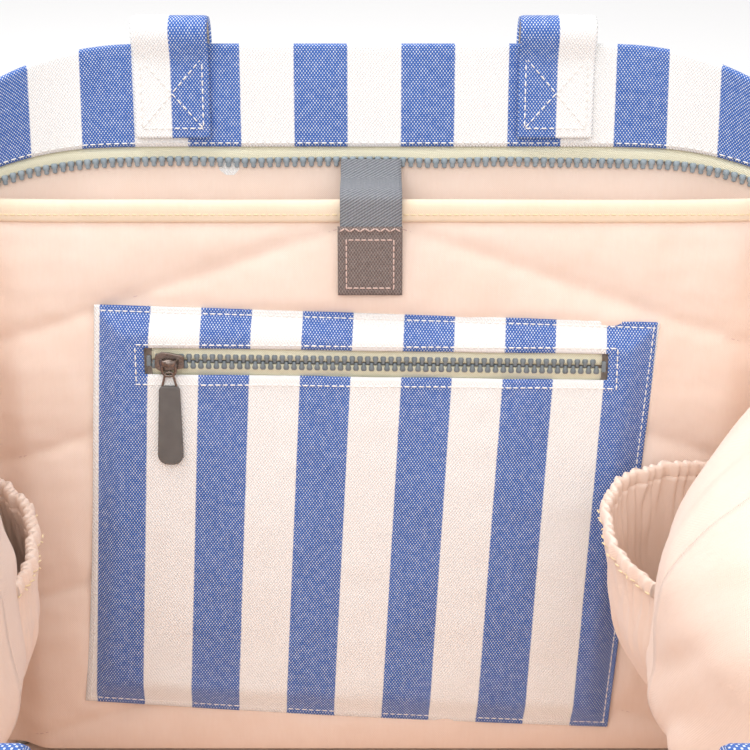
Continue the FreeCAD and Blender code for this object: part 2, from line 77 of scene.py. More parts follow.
# ---- sleeve, pocket and strap, in the plane of the back wall (x, up, in) -----------------------------
SLEEVE_HALF = 167 * MM
SLEEVE_LOW, SLEEVE_HIGH = 9 * MM, 246 * MM
SLEEVE_BACK, SLEEVE_FRONT = 17 * MM, 21 * MM
BINDING_LOW, BINDING_HIGH, BINDING_SEAM = 245 * MM, 254.3 * MM, 248.3 * MM
QUILT_TOPS = (245 * MM, 193 * MM, 128 * MM, 64 * MM)
QUILT_SLOPE = 0.335
QUILT_CENTRE = -2 * MM
POCKET_SIZE = (232 * MM, 178 * MM)
POCKET_CENTRE, POCKET_TILT = (-5.7 * MM, 117.8 * MM), math.radians(-3.0)
POCKET_FACE, POCKET_SEAM = 27.2 * MM, 22.6 * MM
POCKET_START, POCKET_RUN = -121 * MM, 231 * MM      # the lower and upper edges fall evenly over this run
POCKET_FOOT, FOOT_FALL, FOOT_SAG = 33.9 * MM, 12.5 * MM, 1.2 * MM
POCKET_HEAD, HEAD_FALL = 211.6 * MM, 7.5 * MM
ZIP_CENTRE, ZIP_TILT = (0.5 * MM, 187.4 * MM), math.radians(-0.8)
ZIP_LENGTH, ZIP_WINDOW = 191 * MM, 11 * MM
CHAIN_LEVEL = 25.75 * MM
SLIDER_START = -85 * MM
STRAP_CENTRE, STRAP_WIDTH = -1.6 * MM, 25 * MM
TAB_LOW, TAB_HIGH = 216 * MM, 244 * MM
PIN_LEVEL = 4.65 * MM

# ---- handles ------------------------------------------------------------------------------------------
HANDLE_X = {"back": (-83 * MM, 74 * MM), "front": (-78 * MM, 78 * MM)}
HANDLE_WIDTH = 31 * MM
ROLL_RADIUS, ROLL_ABOVE_RIM, HANDLE_THICK = 5.2 * MM, 7.2 * MM, 2.6 * MM
HANDLE_STRAIGHT, HANDLE_BOW = 130 * MM, 100 * MM


# ======== shapes ==========================================================================================
def smooth(t):
    """Ease from 0 to 1 with level ends: t squared times three less two t."""
    t = np.clip(t, 0, 1)
    return t * t * (3 - 2 * t)


def smoother(t):
    """Ease from 0 to 1 with level and uncurved ends."""
    t = np.clip(t, 0, 1)
    return t ** 3 * (10 - 15 * t + 6 * t * t)


def rumple(x, y, cell, seed):
    """Seeded random heights from -1 to 1 on a square grid of the given cell, eased between its points."""
    table = np.random.default_rng(seed).uniform(-1, 1, (64, 64))
    gx, gy = x / cell + 640, y / cell + 640
    ix, iy = np.floor(gx).astype(int), np.floor(gy).astype(int)
    fx, fy = smooth(gx - ix), smooth(gy - iy)
    low = table[ix % 64, iy % 64] * (1 - fx) + table[(ix + 1) % 64, iy % 64] * fx
    high = table[ix % 64, (iy + 1) % 64] * (1 - fx) + table[(ix + 1) % 64, (iy + 1) % 64] * fx
    return low * (1 - fy) + high * fy


def full_turn(count):
    """Evenly spaced angles that make one full turn."""
    return np.linspace(0, 2 * math.pi, count + 1)[:-1]


def squarer(wave_value, power):
    """A sine or cosine raised to a power below one with its sign kept, which makes a circle squarer."""
    return np.sign(wave_value) * abs(wave_value) ** power


def side_by_side(*values):
    """Arrays spread to one shape and joined into points, one value of each to a point."""
    return np.stack(np.broadcast_arrays(*values), -1)


def unit(v):
    """Vectors scaled to length one."""
    return v / np.maximum(np.linalg.norm(v, axis=-1, keepdims=True), 1e-12)


def ring_at(up):
    """Half-width, half-depth, corner radius and quarter length of the wall's ring at a share of its height."""
    width = BASE_HALF_WIDTH + (RIM_HALF_WIDTH - BASE_HALF_WIDTH) * up
    depth = BASE_HALF_DEPTH + (RIM_HALF_DEPTH - BASE_HALF_DEPTH) * up
    corner = BASE_CORNER + (RIM_CORNER - BASE_CORNER) * np.maximum(up, 0) ** CORNER_POWER
    return width, depth, corner, width + depth + (0.5 * math.pi - 2) * corner


def rim_drop(panel, around):
    """The panel's full height, and how far its rim has fallen here: level behind, low at the side seams."""
    if panel == "back":
        fall = smoother((abs(around) - BACK_LEVEL_SHARE) / (1 - BACK_LEVEL_SHARE))
        return BACK_HEIGHT, (BACK_HEIGHT - SIDE_HEIGHT) * fall
    return FRONT_HEIGHT, (FRONT_HEIGHT - SIDE_HEIGHT) * smoother(abs(around))


def surface(panel, around, up):
    """The outer face: a rounded rectangle that grows to the mouth, less the side fold along its normal."""
    around, up = np.broadcast_arrays(np.asarray(around, float), np.asarray(up, float))
    width, depth, corner, length = ring_at(up)
    along = abs(around) * length
    turn = np.clip((along - (width - corner)) / corner, 0, 0.5 * math.pi)
    nx, ny = np.sin(turn), np.cos(turn)
    x = np.minimum(along, width - corner) + corner * nx
    y = depth - corner + corner * ny - np.maximum(along - (width - corner) - 0.5 * math.pi * corner, 0)
    fold = np.cos(0.5 * math.pi * np.minimum((length - along) / SIDE_FOLD_REACH, 1)) ** 2
    deep = np.where(around < 0, LEFT_FOLD, RIGHT_FOLD)
    top = np.where(around < 0, LEFT_FOLD_TOP, RIGHT_FOLD_TOP)
    bow = deep * fold * smooth(up / 0.35) * (1 - smooth((up - top) / (1 - top)))
    x, y = x - nx * bow, y - ny * bow
    height, drop = rim_drop(panel, around)
    late = 1 + DROP_POWER * (1 - fold) ** 2
    z = height * up - drop * np.maximum(up, 0) ** late + (height - drop) * SIDE_SAG * fold * up * (1 - up)
    if panel == "front":
        y = -(y + FRONT_BULGE * np.sin(math.pi * np.clip(up, 0, 1)) * (1 - around * around) ** 2)
    return np.stack([np.copysign(x, around), RIM_SHIFT * up + y, z], -1)


def wall_normal(panel, around, up):
    """The inward unit normal, from the surface's slopes around and up."""
    step = 0.004
    across = surface(panel, around + step, up) - surface(panel, around - step, up)
    rise = surface(panel, around, up + 0.5 * step) - surface(panel, around, up - 0.5 * step)
    return unit(np.cross(across, rise)) * (1 if panel == "back" else -1)


def skin(panel, around, up, depth):
    """Points that lie depth inwards from the outer face."""
    around, up = np.broadcast_arrays(np.asarray(around, float), np.asarray(up, float))
    return surface(panel, around, up) + wall_normal(panel, around, up) * np.asarray(depth)[..., None]


LEAN_UP = np.array([0, math.sin(WALL_LEAN), math.cos(WALL_LEAN)])
LEAN_IN = np.array([0, -math.cos(WALL_LEAN), math.sin(WALL_LEAN)])


def on_wall(x, up, inward):
    """Points in the plane of the back wall: x across, up along the wall, inward from its outer face."""
    x, up, inward = np.broadcast_arrays(np.asarray(x, float), np.asarray(up, float), np.asarray(inward, float))
    points = up[..., None] * LEAN_UP + inward[..., None] * LEAN_IN
    points[..., 0] += x
    points[..., 1] += BASE_HALF_DEPTH
    return points


def lining_inward(x, up):
    """How far in from the wall's plane the lining stands, where the corner's arc brings it forwards."""
    width, _, corner, _ = ring_at(up / WALL_LENGTH)
    reach = np.clip((abs(x) - (width - corner)) / corner, 0, 0.97)
    return 2.8 * MM + corner * (1 - np.sqrt(1 - reach ** 2)) * math.cos(WALL_LEAN)


def sleeve_bend(x, up):
    """How much further in the sleeve lies near its sides, where it curves back to its seam with the lining."""
    return (lining_inward(x, up) + 1.5 * MM - SLEEVE_BACK) * smooth((abs(x) - 146 * MM) / (21 * MM))


# ======== meshes ==========================================================================================
def make_mesh(name, points, faces, uv=None, materials=(), face_material=None, soft=True):
    """A mesh object at the origin, from points, arrays of faces of equal size, and a UV pair for each point."""
    mesh = bpy.data.meshes.new(name)
    points = np.asarray(points, np.float32).reshape(-1, 3)
    faces = [np.asarray(block, np.int32) for block in faces if len(block)]
    corners = np.concatenate([block.ravel() for block in faces])
    totals = np.concatenate([np.full(len(block), block.shape[1], np.int32) for block in faces])
    mesh.vertices.add(len(points))
    mesh.vertices.foreach_set("co", points.ravel())
    mesh.loops.add(len(corners))
    mesh.loops.foreach_set("vertex_index", corners)
    mesh.polygons.add(len(totals))
    mesh.polygons.foreach_set("loop_start", np.concatenate([[0], np.cumsum(totals)[:-1]]).astype(np.int32))
    mesh.polygons.foreach_set("loop_total", totals)
    for material in materials:
        mesh.materials.append(material)
    if face_material is not None:
        mesh.polygons.foreach_set("material_index", np.asarray(face_material, np.int32))
    mesh.polygons.foreach_set("use_smooth", np.full(len(totals), soft))
    mesh.update(calc_edges=True)
    if uv is not None:
        layer = mesh.uv_layers.new(name="UVMap")
        layer.data.foreach_set("uv", np.asarray(uv, np.float32).reshape(-1, 2)[corners].ravel())
    mesh.validate()
    piece = bpy.data.objects.new(name, mesh)
    bpy.context.scene.collection.objects.link(piece)
    return piece


def settle(piece, body, replaces):
    """Attach a piece to the body it rides, and hide the design's nodes that it stands for."""
    if body:
        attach(piece, body)
    if replaces:
        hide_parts(*replaces)
    return piece


def grid_faces(rows, columns, close_columns=False):
    """Four-sided faces of a grid of points, wrapped round if its columns close."""
    index = np.arange(rows * columns).reshape(rows, columns)
    if close_columns:
        index = np.concatenate([index, index[:, :1]], 1)
    return np.stack([index[:-1, :-1], index[:-1, 1:], index[1:, 1:], index[1:, :-1]], -1).reshape(-1, 4)


def cloth(name, points, uv, materials, body, thick=COTTON_THICK, flip=False, keep=None, replaces=()):
    """A sheet of cloth on a grid of points, with its thickness added away from its shown face.

    Materials may hold a second one for the hidden face. Faces where keep is false are cut out.
    """
    faces = grid_faces(*points.shape[:2])
    if keep is not None:
        faces = faces[keep.ravel()]
    if flip:
        faces = faces[:, ::-1]
    piece = make_mesh(name, points, [faces], uv, materials)
    wall = piece.modifiers.new("thickness", "SOLIDIFY")
    wall.thickness = thick
    wall.offset = -1
    wall.material_offset = len(materials) - 1
    return settle(piece, body, replaces)


def tube(name, rings, materials, body, uv=None, closed_path=False, replaces=()):
    """A closed skin over rings of points along a path, capped at both ends unless the path closes."""
    count, around = rings.shape[:2]
    points = rings.reshape(-1, 3)
    if closed_path:
        index = np.arange(count * around).reshape(count, around)
        index = np.concatenate([index, index[:1]], 0)
        index = np.concatenate([index, index[:, :1]], 1)
        faces = [np.stack([index[:-1, :-1], index[:-1, 1:], index[1:, 1:], index[1:, :-1]], -1).reshape(-1, 4)]
    else:
        ends = np.array([rings[0].mean(0), rings[-1].mean(0)])
        points = np.concatenate([points, ends])
        turn = np.arange(around)
        start = np.stack([np.roll(turn, -1), turn, np.full(around, count * around)], -1)
        last = (count - 1) * around
        finish = np.stack([last + turn, last + np.roll(turn, -1), np.full(around, count * around + 1)], -1)
        faces = [grid_faces(count, around, True), start, finish]
    if uv is not None and len(uv) < len(points):
        uv = np.concatenate([uv, uv[:1], uv[-1:]])
    piece = make_mesh(name, points, faces, uv, materials)
    outward(piece)
    return settle(piece, body, replaces)


def outward(piece):
    """Turn a closed mesh's faces outwards where its signed volume says that they point in."""
    mesh = piece.data
    mesh.calc_loop_triangles()
    corner = np.empty(len(mesh.loop_triangles) * 3, np.int32)
    mesh.loop_triangles.foreach_get("vertices", corner)
    points = np.empty(len(mesh.vertices) * 3)
    mesh.vertices.foreach_get("co", points)
    tri = points.reshape(-1, 3)[corner.reshape(-1, 3)]
    tri = tri - tri.mean((0, 1))
    if np.einsum("ij,ij->i", tri[:, 0], np.cross(tri[:, 1], tri[:, 2])).sum() < 0:
        mesh.flip_normals()


def run_along(path):
    """The length of a line of points up to each of them."""
    return np.concatenate([[0], np.cumsum(np.linalg.norm(np.diff(path, axis=0), axis=1))])


def between(at, run, path):
    """The points of a line at the given lengths, by straight steps between its own points."""
    return np.stack([np.interp(at, run, column) for column in path.T], -1)


def walk(path, pitch, start=0.0):
    """Evenly spaced places along a line of points, as points and unit directions."""
    path = np.asarray(path, float)
    run = run_along(path)
    at = np.arange(start, run[-1] - 1e-6, pitch)
    points = between(at, run, path)
    ahead = between(at + 0.3 * MM, run, path)
    behind = between(at - 0.3 * MM, run, path)
    return points, unit(ahead - behind), at / run[-1]


def shape_along(sections):
    """A small closed block: rounded eight-sided sections (place, shift, half width, half height) in a row."""
    turn = np.arange(8) * math.pi / 4 + math.pi / 8
    place, shift, wide, high = [np.array(column)[:, None] for column in zip(*sections)]
    ring = np.stack([np.broadcast_to(place, (len(sections), 8)), shift + wide * np.cos(turn) * 1.08,
                     high * np.sin(turn) * 1.08], -1)
    count = len(sections)
    cap = np.array([[0, 1, 2, 7], [2, 3, 6, 7], [3, 4, 5, 6]])
    faces = np.concatenate([grid_faces(count, 8, True), cap[:, ::-1], cap + (count - 1) * 8])
    return ring.reshape(-1, 3), faces


def repeat(name, block, centres, ahead, normal, materials, body, replaces=()):
    """Copies of a block in one mesh: its first axis goes ahead, its third along the normal."""
    points, faces = block
    normal = unit(normal - ahead * np.sum(normal * ahead, -1, keepdims=True))
    side = np.cross(normal, ahead)
    axes = np.stack([ahead, side, normal], 1)
    placed = centres[:, None, :] + np.einsum("kj,nji->nki", points, axes)
    many = (faces[None] + np.arange(len(centres))[:, None, None] * len(points)).reshape(-1, faces.shape[1])
    piece = make_mesh(name, placed, [many], None, materials)
    return settle(piece, body, replaces)


STITCH = 2.3 * MM
STITCH_BLOCK = shape_along([(-0.5 * STITCH, 0, 0.15 * THREAD, 0.15 * THREAD), (-0.34 * STITCH, 0, THREAD, THREAD),
                            (0.34 * STITCH, 0, THREAD, THREAD), (0.5 * STITCH, 0, 0.15 * THREAD, 0.15 * THREAD)])


def stitches(name, paths, normals, body="root", pitch=3.1 * MM, thread=None):
    """Rows of stitches along lines of points; each line has one normal or a normal for each point."""
    centres, ahead, out = [], [], []
    for path, normal in zip(paths, normals):
        points, direction, share = walk(path, pitch, 0.5 * pitch)
        normal = np.broadcast_to(np.asarray(normal, float), np.shape(path))
        along = np.linspace(0, 1, len(normal))
        here = between(share, along, normal)
        centres.append(points + here * 0.15 * MM)
        ahead.append(direction)
        out.append(here)
    return repeat(name, STITCH_BLOCK, np.concatenate(centres), np.concatenate(ahead), np.concatenate(out),
                  [thread or THREAD_WHITE], body)


# ======== materials =======================================================================================
def rgb(code):
    """Linear colour, with alpha, from an sRGB hex value."""
    parts = [int(code[place:place + 2], 16) / 255 for place in (1, 3, 5)]
    return [(c / 12.92 if c <= 0.04045 else ((c + 0.055) / 1.055) ** 2.4) for c in parts] + [1.0]


def join(tree, node, sockets):
    """Fill a node's inputs, by name or number, with values, with outputs, or with nodes' first outputs."""
    for key, value in sockets.items():
        if isinstance(value, bpy.types.Node):
            value = next(output for output in value.outputs if output.enabled)
        if isinstance(value, bpy.types.NodeSocket):
            tree.links.new(value, node.inputs[key])
        else:
            node.inputs[key].default_value = value


def add(tree, kind, *values, sockets=None, **settings):
    """Add a node with its settings and links: values fill its inputs in order, sockets by name or number."""
    made = tree.nodes.new("ShaderNode" + kind)
    for name, value in settings.items():
        setattr(made, name, value)
    join(tree, made, {**dict(enumerate(values)), **(sockets or {})})
    return made


def start_material(name):
    """A new material and its node tree."""
    material = bpy.data.materials.new(name)
    material.use_nodes = True
    return material, material.node_tree


def finish_material(tree, colour, height=None, bump_mm=0.1, **shader):
    """Join colour and bump to the surface shader; the other values are set on the shader's own sockets."""
    shading = next(node for node in tree.nodes if node.type == "BSDF_PRINCIPLED")
    join(tree, shading, {"Base Color": colour, **shader})
    if height is not None:
        join(tree, shading, {"Normal": add(tree, "Bump", sockets={"Distance": bump_mm * MM, "Height": height})})


def across_and_up(tree):
    """The piece's own cloth coordinates in metres: both together, across the cloth, and up it."""
    together = add(tree, "UVMap", uv_map="UVMap")
    split = add(tree, "SeparateXYZ", together)
    return together, split.outputs[0], split.outputs[1]


def wave(tree, coordinate, pitch):
    """A cosine along a coordinate, one turn for each pitch."""
    turns = add(tree, "Math", coordinate, 2 * math.pi / pitch, operation="MULTIPLY")
    return add(tree, "Math", turns, operation="COSINE")


def blotches(cell, detail=2.0):
    """A noise node's settings for random blotches about a cell across."""
    return {"Scale": 1 / cell, "Detail": detail}


def striped_canvas(name, plain=False):
    """Heavy plain-woven canvas in two colours.

    Pale weft floats show as staggered dots, which give the blue stripes their soft, heathered look. The slubs make
    the dots fade and swell, the stripes' edges are a little ragged, and the off-white keeps only a faint grain of
    painted shade, darker in the weave's hollows.
    """
    material, tree = start_material(name)
    cloth_at, across, up = across_and_up(tree)
    fray = add(tree, "TexNoise", cloth_at, sockets=blotches(0.9 * MM))
    ragged = add(tree, "Math", fray, 0.6 * MM, across, operation="MULTIPLY_ADD")
    white = add(tree, "Math", wave(tree, ragged, 2 * STRIPE), 14.0, 0.5, operation="MULTIPLY_ADD", use_clamp=True)
    dots = add(tree, "Math", wave(tree, across, 1.3 * MM), wave(tree, up, 1.7 * MM), operation="MULTIPLY")
    slub = add(tree, "TexNoise", cloth_at, sockets=blotches(2.6 * MM, 3.0))
    swell = add(tree, "Math", slub, 1.1, -0.78, operation="MULTIPLY_ADD")
    swollen = add(tree, "Math", dots, swell, operation="ADD")
    float_mask = add(tree, "Math", swollen, 2.9, -0.3, operation="MULTIPLY_ADD", use_clamp=True)
    faded = add(tree, "TexNoise", cloth_at, sockets=blotches(35 * MM, 3.0))
    ground = add(tree, "Mix", faded, sockets={6: rgb("#2F5AA8"), 7: rgb("#4673C4")}, data_type="RGBA")
    blue = add(tree, "Mix", float_mask, sockets={6: ground, 7: rgb("#E6ECF8")}, data_type="RGBA")
    # painted shade: the off-white is a touch darker in the weave's hollows, following the dots
    grain = add(tree, "Math", dots, 0.25, 0.4, operation="MULTIPLY_ADD", use_clamp=True)
    pale = add(tree, "Mix", grain, sockets={6: rgb("#F9F7F3"), 7: rgb("#FFFFFF")}, data_type="RGBA")
    colour = pale if plain else add(tree, "Mix", white, sockets={6: blue, 7: pale}, data_type="RGBA")
    height = add(tree, "Math", slub, 0.6, dots, operation="MULTIPLY_ADD")
    finish_material(tree, colour, height, 0.16, Roughness=0.88, **{"Sheen Weight": 0.12, "Sheen Roughness": 0.5})
    return material


def lining_cotton(name, low, high, sheen=0.15):
    """Fine calendered cotton: an even, slightly warm face with a close plain weave and soft slubs."""
    material, tree = start_material(name)
    cloth_at, across, up = across_and_up(tree)
    weave = add(tree, "Math", wave(tree, across, 0.85 * MM), wave(tree, up, 0.85 * MM), operation="MULTIPLY")
    drawn = add(tree, "Mapping", cloth_at, sockets={"Scale": (1.0, 0.18, 1.0)})
    slub = add(tree, "TexNoise", drawn, sockets=blotches(1.4 * MM, 3.0))
    clouds = add(tree, "TexNoise", cloth_at, sockets=blotches(28 * MM, 3.0))
    cloudy = add(tree, "Math", clouds, 0.7, -0.05, operation="MULTIPLY_ADD")
    share = add(tree, "Math", slub, 0.35, cloudy, operation="MULTIPLY_ADD")
    colour = add(tree, "Mix", share, sockets={6: rgb(low), 7: rgb(high)}, data_type="RGBA")
    height = add(tree, "Math", slub, 1.2, weave, operation="MULTIPLY_ADD")
    finish_material(tree, colour, height, 0.05, Roughness=0.9, **{"Sheen Weight": sheen, "Sheen Roughness": 0.45})
    return material


def ribbed_tape(name, low, high, pitch, slant, rough=0.8, bump_mm=0.12):
    """Narrow woven tape: close ribs, upright or leaning, that catch the light along their crowns, where the colour
    is painted lighter as a painted highlight.
    """
    material, tree = start_material(name)
    cloth_at, across, up = across_and_up(tree)
    rib = wave(tree, add(tree, "Math", across, -slant, up, operation="MULTIPLY_ADD"), pitch)
    clouds = add(tree, "TexNoise", cloth_at, sockets=blotches(1.2 * MM, 3.0))
    cloudy = add(tree, "Math", clouds, 0.6, 0.18, operation="MULTIPLY_ADD")
    # painted highlight: the colour is lighter along the rib crowns and darker between them
    share = add(tree, "Math", rib, 0.34, cloudy, operation="MULTIPLY_ADD", use_clamp=True)
    colour = add(tree, "Mix", share, sockets={6: rgb(low), 7: rgb(high)}, data_type="RGBA")
    height = add(tree, "Math", wave(tree, across, 0.9 * pitch), 0.35, rib, operation="MULTIPLY_ADD")
    finish_material(tree, colour, height, bump_mm, Roughness=rough)
    return material


def coarse_weave(name, low, high, pitch):
    """Basket-woven polyester: fat square floats, with the gaps between them painted dark as painted shade."""
    material, tree = start_material(name)
    cloth_at, across, up = across_and_up(tree)
    floats = add(tree, "Math", wave(tree, across, pitch), wave(tree, up, 1.5 * pitch), operation="MULTIPLY")
    clouds = add(tree, "TexNoise", cloth_at, sockets=blotches(2 * MM, 3.0))
    cloudy = add(tree, "Math", clouds, 0.7, 0.1, operation="MULTIPLY_ADD")
    # painted shade: the colour is darker in the gaps between the floats
    share = add(tree, "Math", floats, 0.4, cloudy, operation="MULTIPLY_ADD", use_clamp=True)
    colour = add(tree, "Mix", share, sockets={6: rgb(low), 7: rgb(high)}, data_type="RGBA")
    finish_material(tree, colour, floats, 0.25, Roughness=0.85)
    return material


def moulded(name, low, high, rough, grain_mm, bump_mm, **shader):
    """Moulded or spun plastic: one colour with faint flow marks and a fine grain."""
    material, tree = start_material(name)
    here = add(tree, "TexCoord").outputs["Object"]
    flow = add(tree, "TexNoise", here, sockets=blotches(6 * MM))
    colour = add(tree, "Mix", flow, sockets={6: rgb(low), 7: rgb(high)}, data_type="RGBA")
    grain = add(tree, "TexNoise", here, sockets=blotches(grain_mm * MM))
    finish_material(tree, colour, grain, bump_mm, Roughness=rough, **shader)
    return material


def plated_zinc(name):
    """Die-cast zinc under dark nickel plating: a warm grey metal with soft tumbling marks."""
    material, tree = start_material(name)
    rub = add(tree, "TexNoise", add(tree, "TexCoord").outputs["Object"], sockets=blotches(1.1 * MM, 3.0))
    colour = add(tree, "Mix", rub, sockets={6: rgb("#6A5F59"), 7: rgb("#9A8C84")}, data_type="RGBA")
    rough = add(tree, "Math", rub, 0.18, 0.2, operation="MULTIPLY_ADD")
    finish_material(tree, colour, rub, 0.02, Roughness=rough, Metallic=1.0)
    return material


CANVAS = striped_canvas("striped plain-weave cotton canvas")
PALE_CANVAS = striped_canvas("undyed cotton canvas", True)
WEBBING_BACK = ribbed_tape("undyed cotton webbing", "#CDBFAE", "#E9DFD0", 1.3 * MM, 0.0)
LINING = lining_cotton("calendered cotton lining", "#F4D9C6", "#FDEADD")
QUILTING = lining_cotton("quilted cotton", "#F0D5C2", "#FBE8DB")
BINDING = lining_cotton("folded cotton binding", "#F3DABB", "#FDECD6", 0.1)
ZIP_TAPE = ribbed_tape("woven polyester zip tape", "#E6E1C2", "#F8F4DC", 0.9 * MM, 1.0)
ELASTIC = ribbed_tape("twill elastic webbing", "#6C6E74", "#A4A6AB", 1.25 * MM, 0.62, 0.7, 0.18)
HOOK_TAB = coarse_weave("basket-woven polyester tab", "#685853", "#A3958F", 1.25 * MM)
LOOP_TAPE = lining_cotton("brushed nylon loop tape", "#CDBBA8", "#E8DACB", 0.4)
TOOTH_GREY = moulded("moulded acetal, blue grey", "#84929B", "#A5B1B8", 0.38, 0.35, 0.01, IOR=1.48)
POCKET_TOOTH = moulded("moulded acetal, grey", "#6B7478", "#879095", 0.36, 0.35, 0.01, IOR=1.48)
GUNMETAL = plated_zinc("dark nickel plated zinc")
RUBBER = moulded("moulded thermoplastic rubber", "#55524F", "#6D6966", 0.55, 0.4, 0.02, IOR=1.52)
BOARD = moulded("extruded polyethylene board", "#CFCBC2", "#DEDBD4", 0.6, 1.2, 0.03, IOR=1.5)
THREAD_WHITE = moulded("spun polyester thread, white", "#EDE9E4", "#FFFDF8", 0.7, 0.3, 0.02)
THREAD_CREAM = moulded("spun polyester thread, cream", "#EFD9AC", "#F6E5C0", 0.7, 0.3, 0.02)
THREAD_ROSE = moulded("spun polyester thread, pale rose", "#D5B4AA", "#E6CABF", 0.7, 0.3, 0.02)


# ======== walls, facing, lining and base ====================================================================
def fold_in_seams(around, up):
    """How far a wall's cloth draws in along its side seams, where two cut edges are turned in together."""
    apart = (1 - abs(around)) * ring_at(up)[3]
    return 1.1 * MM * np.exp(-(apart / (2.2 * MM)) ** 2)


def canvas_wall(panel):
    """One canvas panel: up the outside from the base, over the mouth and down inside as the facing."""
    around = np.linspace(-1, 1, 281)[None, :]
    up = np.concatenate([np.linspace(0, 1, 100), np.full(7, 1.0), np.linspace(1, FACING_LOW, 16)])[:, None]
    turn = np.concatenate([np.zeros(100), np.linspace(0, math.pi, 9)[1:-1], np.full(16, math.pi)])[:, None]
    length = up * WALL_LENGTH
    radius = 0.5 * FACING_DEPTH
    mouth = smooth((up - 0.9) / 0.08)
    x = around * CUT_HALF
    soft = 0.9 * MM * rumple(x, length, 42 * MM, 3) + 0.35 * MM * rumple(x, length, 15 * MM, 4)
    depth = radius * (1 - np.cos(turn)) + fold_in_seams(around, up) * (turn == 0) + soft * (1 - mouth) * (turn == 0)
    rise = unit(surface(panel, around, up) - surface(panel, around, up - 0.01))
    points = skin(panel, around, up, depth) + rise * (radius * np.sin(turn))[..., None]
    run = np.where(turn < math.pi, length, 2 * WALL_LENGTH - length) + radius * turn
    cloth_at = side_by_side(around * ring_at(up)[3], run)
    piece = cloth(panel + "_canvas", points, cloth_at, [CANVAS, PALE_CANVAS], "root",
                  CANVAS_THICK, panel == "back", replaces=(panel + "_shell_panel", panel + "_facing"))
    seam = np.linspace(-0.995, 0.995, 400)
    for name, depth, out in (("inside", FACING_DEPTH, 1), ("outside", 0.0, -1)):
        path = skin(panel, seam, np.full(400, FACING_LOW + 0.0047), np.full(400, depth))
        normals = wall_normal(panel, seam, np.full(400, FACING_LOW + 0.0047)) * out
        stitches(panel + "_facing_stitches_" + name, [path], [normals], pitch=3.3 * MM)


def lining_wall(panel):
    """One lining panel, with soft wrinkles that die out where it is sewn to the zip and the base."""
    around = np.linspace(-1, 1, 261)[None, :]
    up = np.linspace(LINING_LOW, LINING_HIGH, 120)[:, None]
    x, length = around * CUT_HALF, up * WALL_LENGTH
    fade = smooth(up / 0.06) * (1 - smooth((up - 0.795) / 0.05))
    side = smooth((abs(around) - 0.45) / 0.25)
    creases = abs(rumple(x + 0.5 * length, length * 0.35, 17 * MM, 8)) ** 1.5
    wrinkle = (1.0 + rumple(x, length, 36 * MM, 6)) * (0.5 + 1.3 * side) + (0.5 + 2.2 * side) * creases
    depth = LINING_DEPTH + wrinkle * MM * fade + fold_in_seams(around, up)
    cloth_at = side_by_side(around * ring_at(up)[3], length)
    piece = cloth(panel + "_lining_cloth", skin(panel, around, up, depth), cloth_at, [LINING], "root",
                  COTTON_THICK, panel == "front", replaces=(panel + "_lining",))


def base_sheet(name, level, inset, material, thick, flip, swell, replaced):
    """A sheet over the base's rounded rectangle, row by row, with a slight cushioned swell."""
    half_width, half_depth, corner = (BASE_HALF_WIDTH - inset, BASE_HALF_DEPTH - inset, BASE_CORNER - inset)
    y = half_depth * np.sin(np.linspace(-0.5, 0.5, 61) * math.pi)[:, None]
    past = np.maximum(abs(y) - (half_depth - corner), 0)
    x = np.sin(np.linspace(-0.5, 0.5, 91) * math.pi)[None, :] * (
        half_width - corner + np.sqrt(np.maximum(corner ** 2 - past ** 2, 0)))
    z = level + swell * (1 + rumple(x, y + 0 * x, 40 * MM, 12)) * (1 - (y / half_depth) ** 4)
    points = side_by_side(x, y, z)
    return cloth(name, points, points[..., :2], [material], "root", thick, flip, replaces=(replaced,))


def base_pieces():
    """The canvas underneath, the lining over the stiffener, and the cord-edged seam round the foot."""
    canvas = base_sheet("base_canvas", 0.0, 0.4 * MM, CANVAS, CANVAS_THICK, True, 0.0,
                        "base_shell_panel")
    lining = base_sheet("base_lining_cloth", 6.9 * MM, 3.2 * MM, LINING, COTTON_THICK, False,
                        0.5 * MM, "base_lining")
    around = np.linspace(-1, 1, 161)
    foot = np.concatenate([skin("back", around, np.full(161, 0.007), np.full(161, 0.3 * MM)),
                           skin("front", around[::-1], np.full(161, 0.007), np.full(161, 0.3 * MM))[1:-1]])
    ahead = unit(np.roll(foot, -1, 0) - np.roll(foot, 1, 0))
    out = np.cross(ahead, [0, 0, 1.0])
    turn = full_turn(10)
    rings = foot[:, None] + 1.9 * MM * (out[:, None] * np.cos(turn)[None, :, None]
                                        + np.array([0, 0, 1.0]) * np.sin(turn)[None, :, None])
    run = np.cumsum(np.linalg.norm(np.diff(foot, axis=0, append=foot[:1]), axis=1))
    cloth_at = side_by_side(run[:, None], turn[None, :] * 1.9 * MM).reshape(-1, 2)
    tube("base_piping", rings, [PALE_CANVAS], "root", cloth_at, closed_path=True)
    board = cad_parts["base_board"]
    board.data.materials.clear()
    board.data.materials.append(BOARD)


# ======== main zip =========================================================================================
def zip_line(panel, around):
    """The slight waver of the main zip, in shares of the wall's height."""
    return 0.0017 * rumple(around * CUT_HALF, 0 * around, 26 * MM, 5 if panel == "back" else 9)


# from the tape's edge: the clamping foot, the waist, the head and its nose
TOOTH = shape_along([(-0.7 * MM, 0, 0.9 * MM, 0.8 * MM), (-0.3 * MM, 0, 1.3 * MM, 1.1 * MM),
                     (1.3 * MM, 0, 1.3 * MM, 1.1 * MM), (1.7 * MM, 0, 0.85 * MM, 0.95 * MM),
                     (2.5 * MM, 0, 1.0 * MM, 0.95 * MM), (3.1 * MM, 0, 0.9 * MM, 0.8 * MM),
                     (3.4 * MM, 0, 0.5 * MM, 0.5 * MM)])


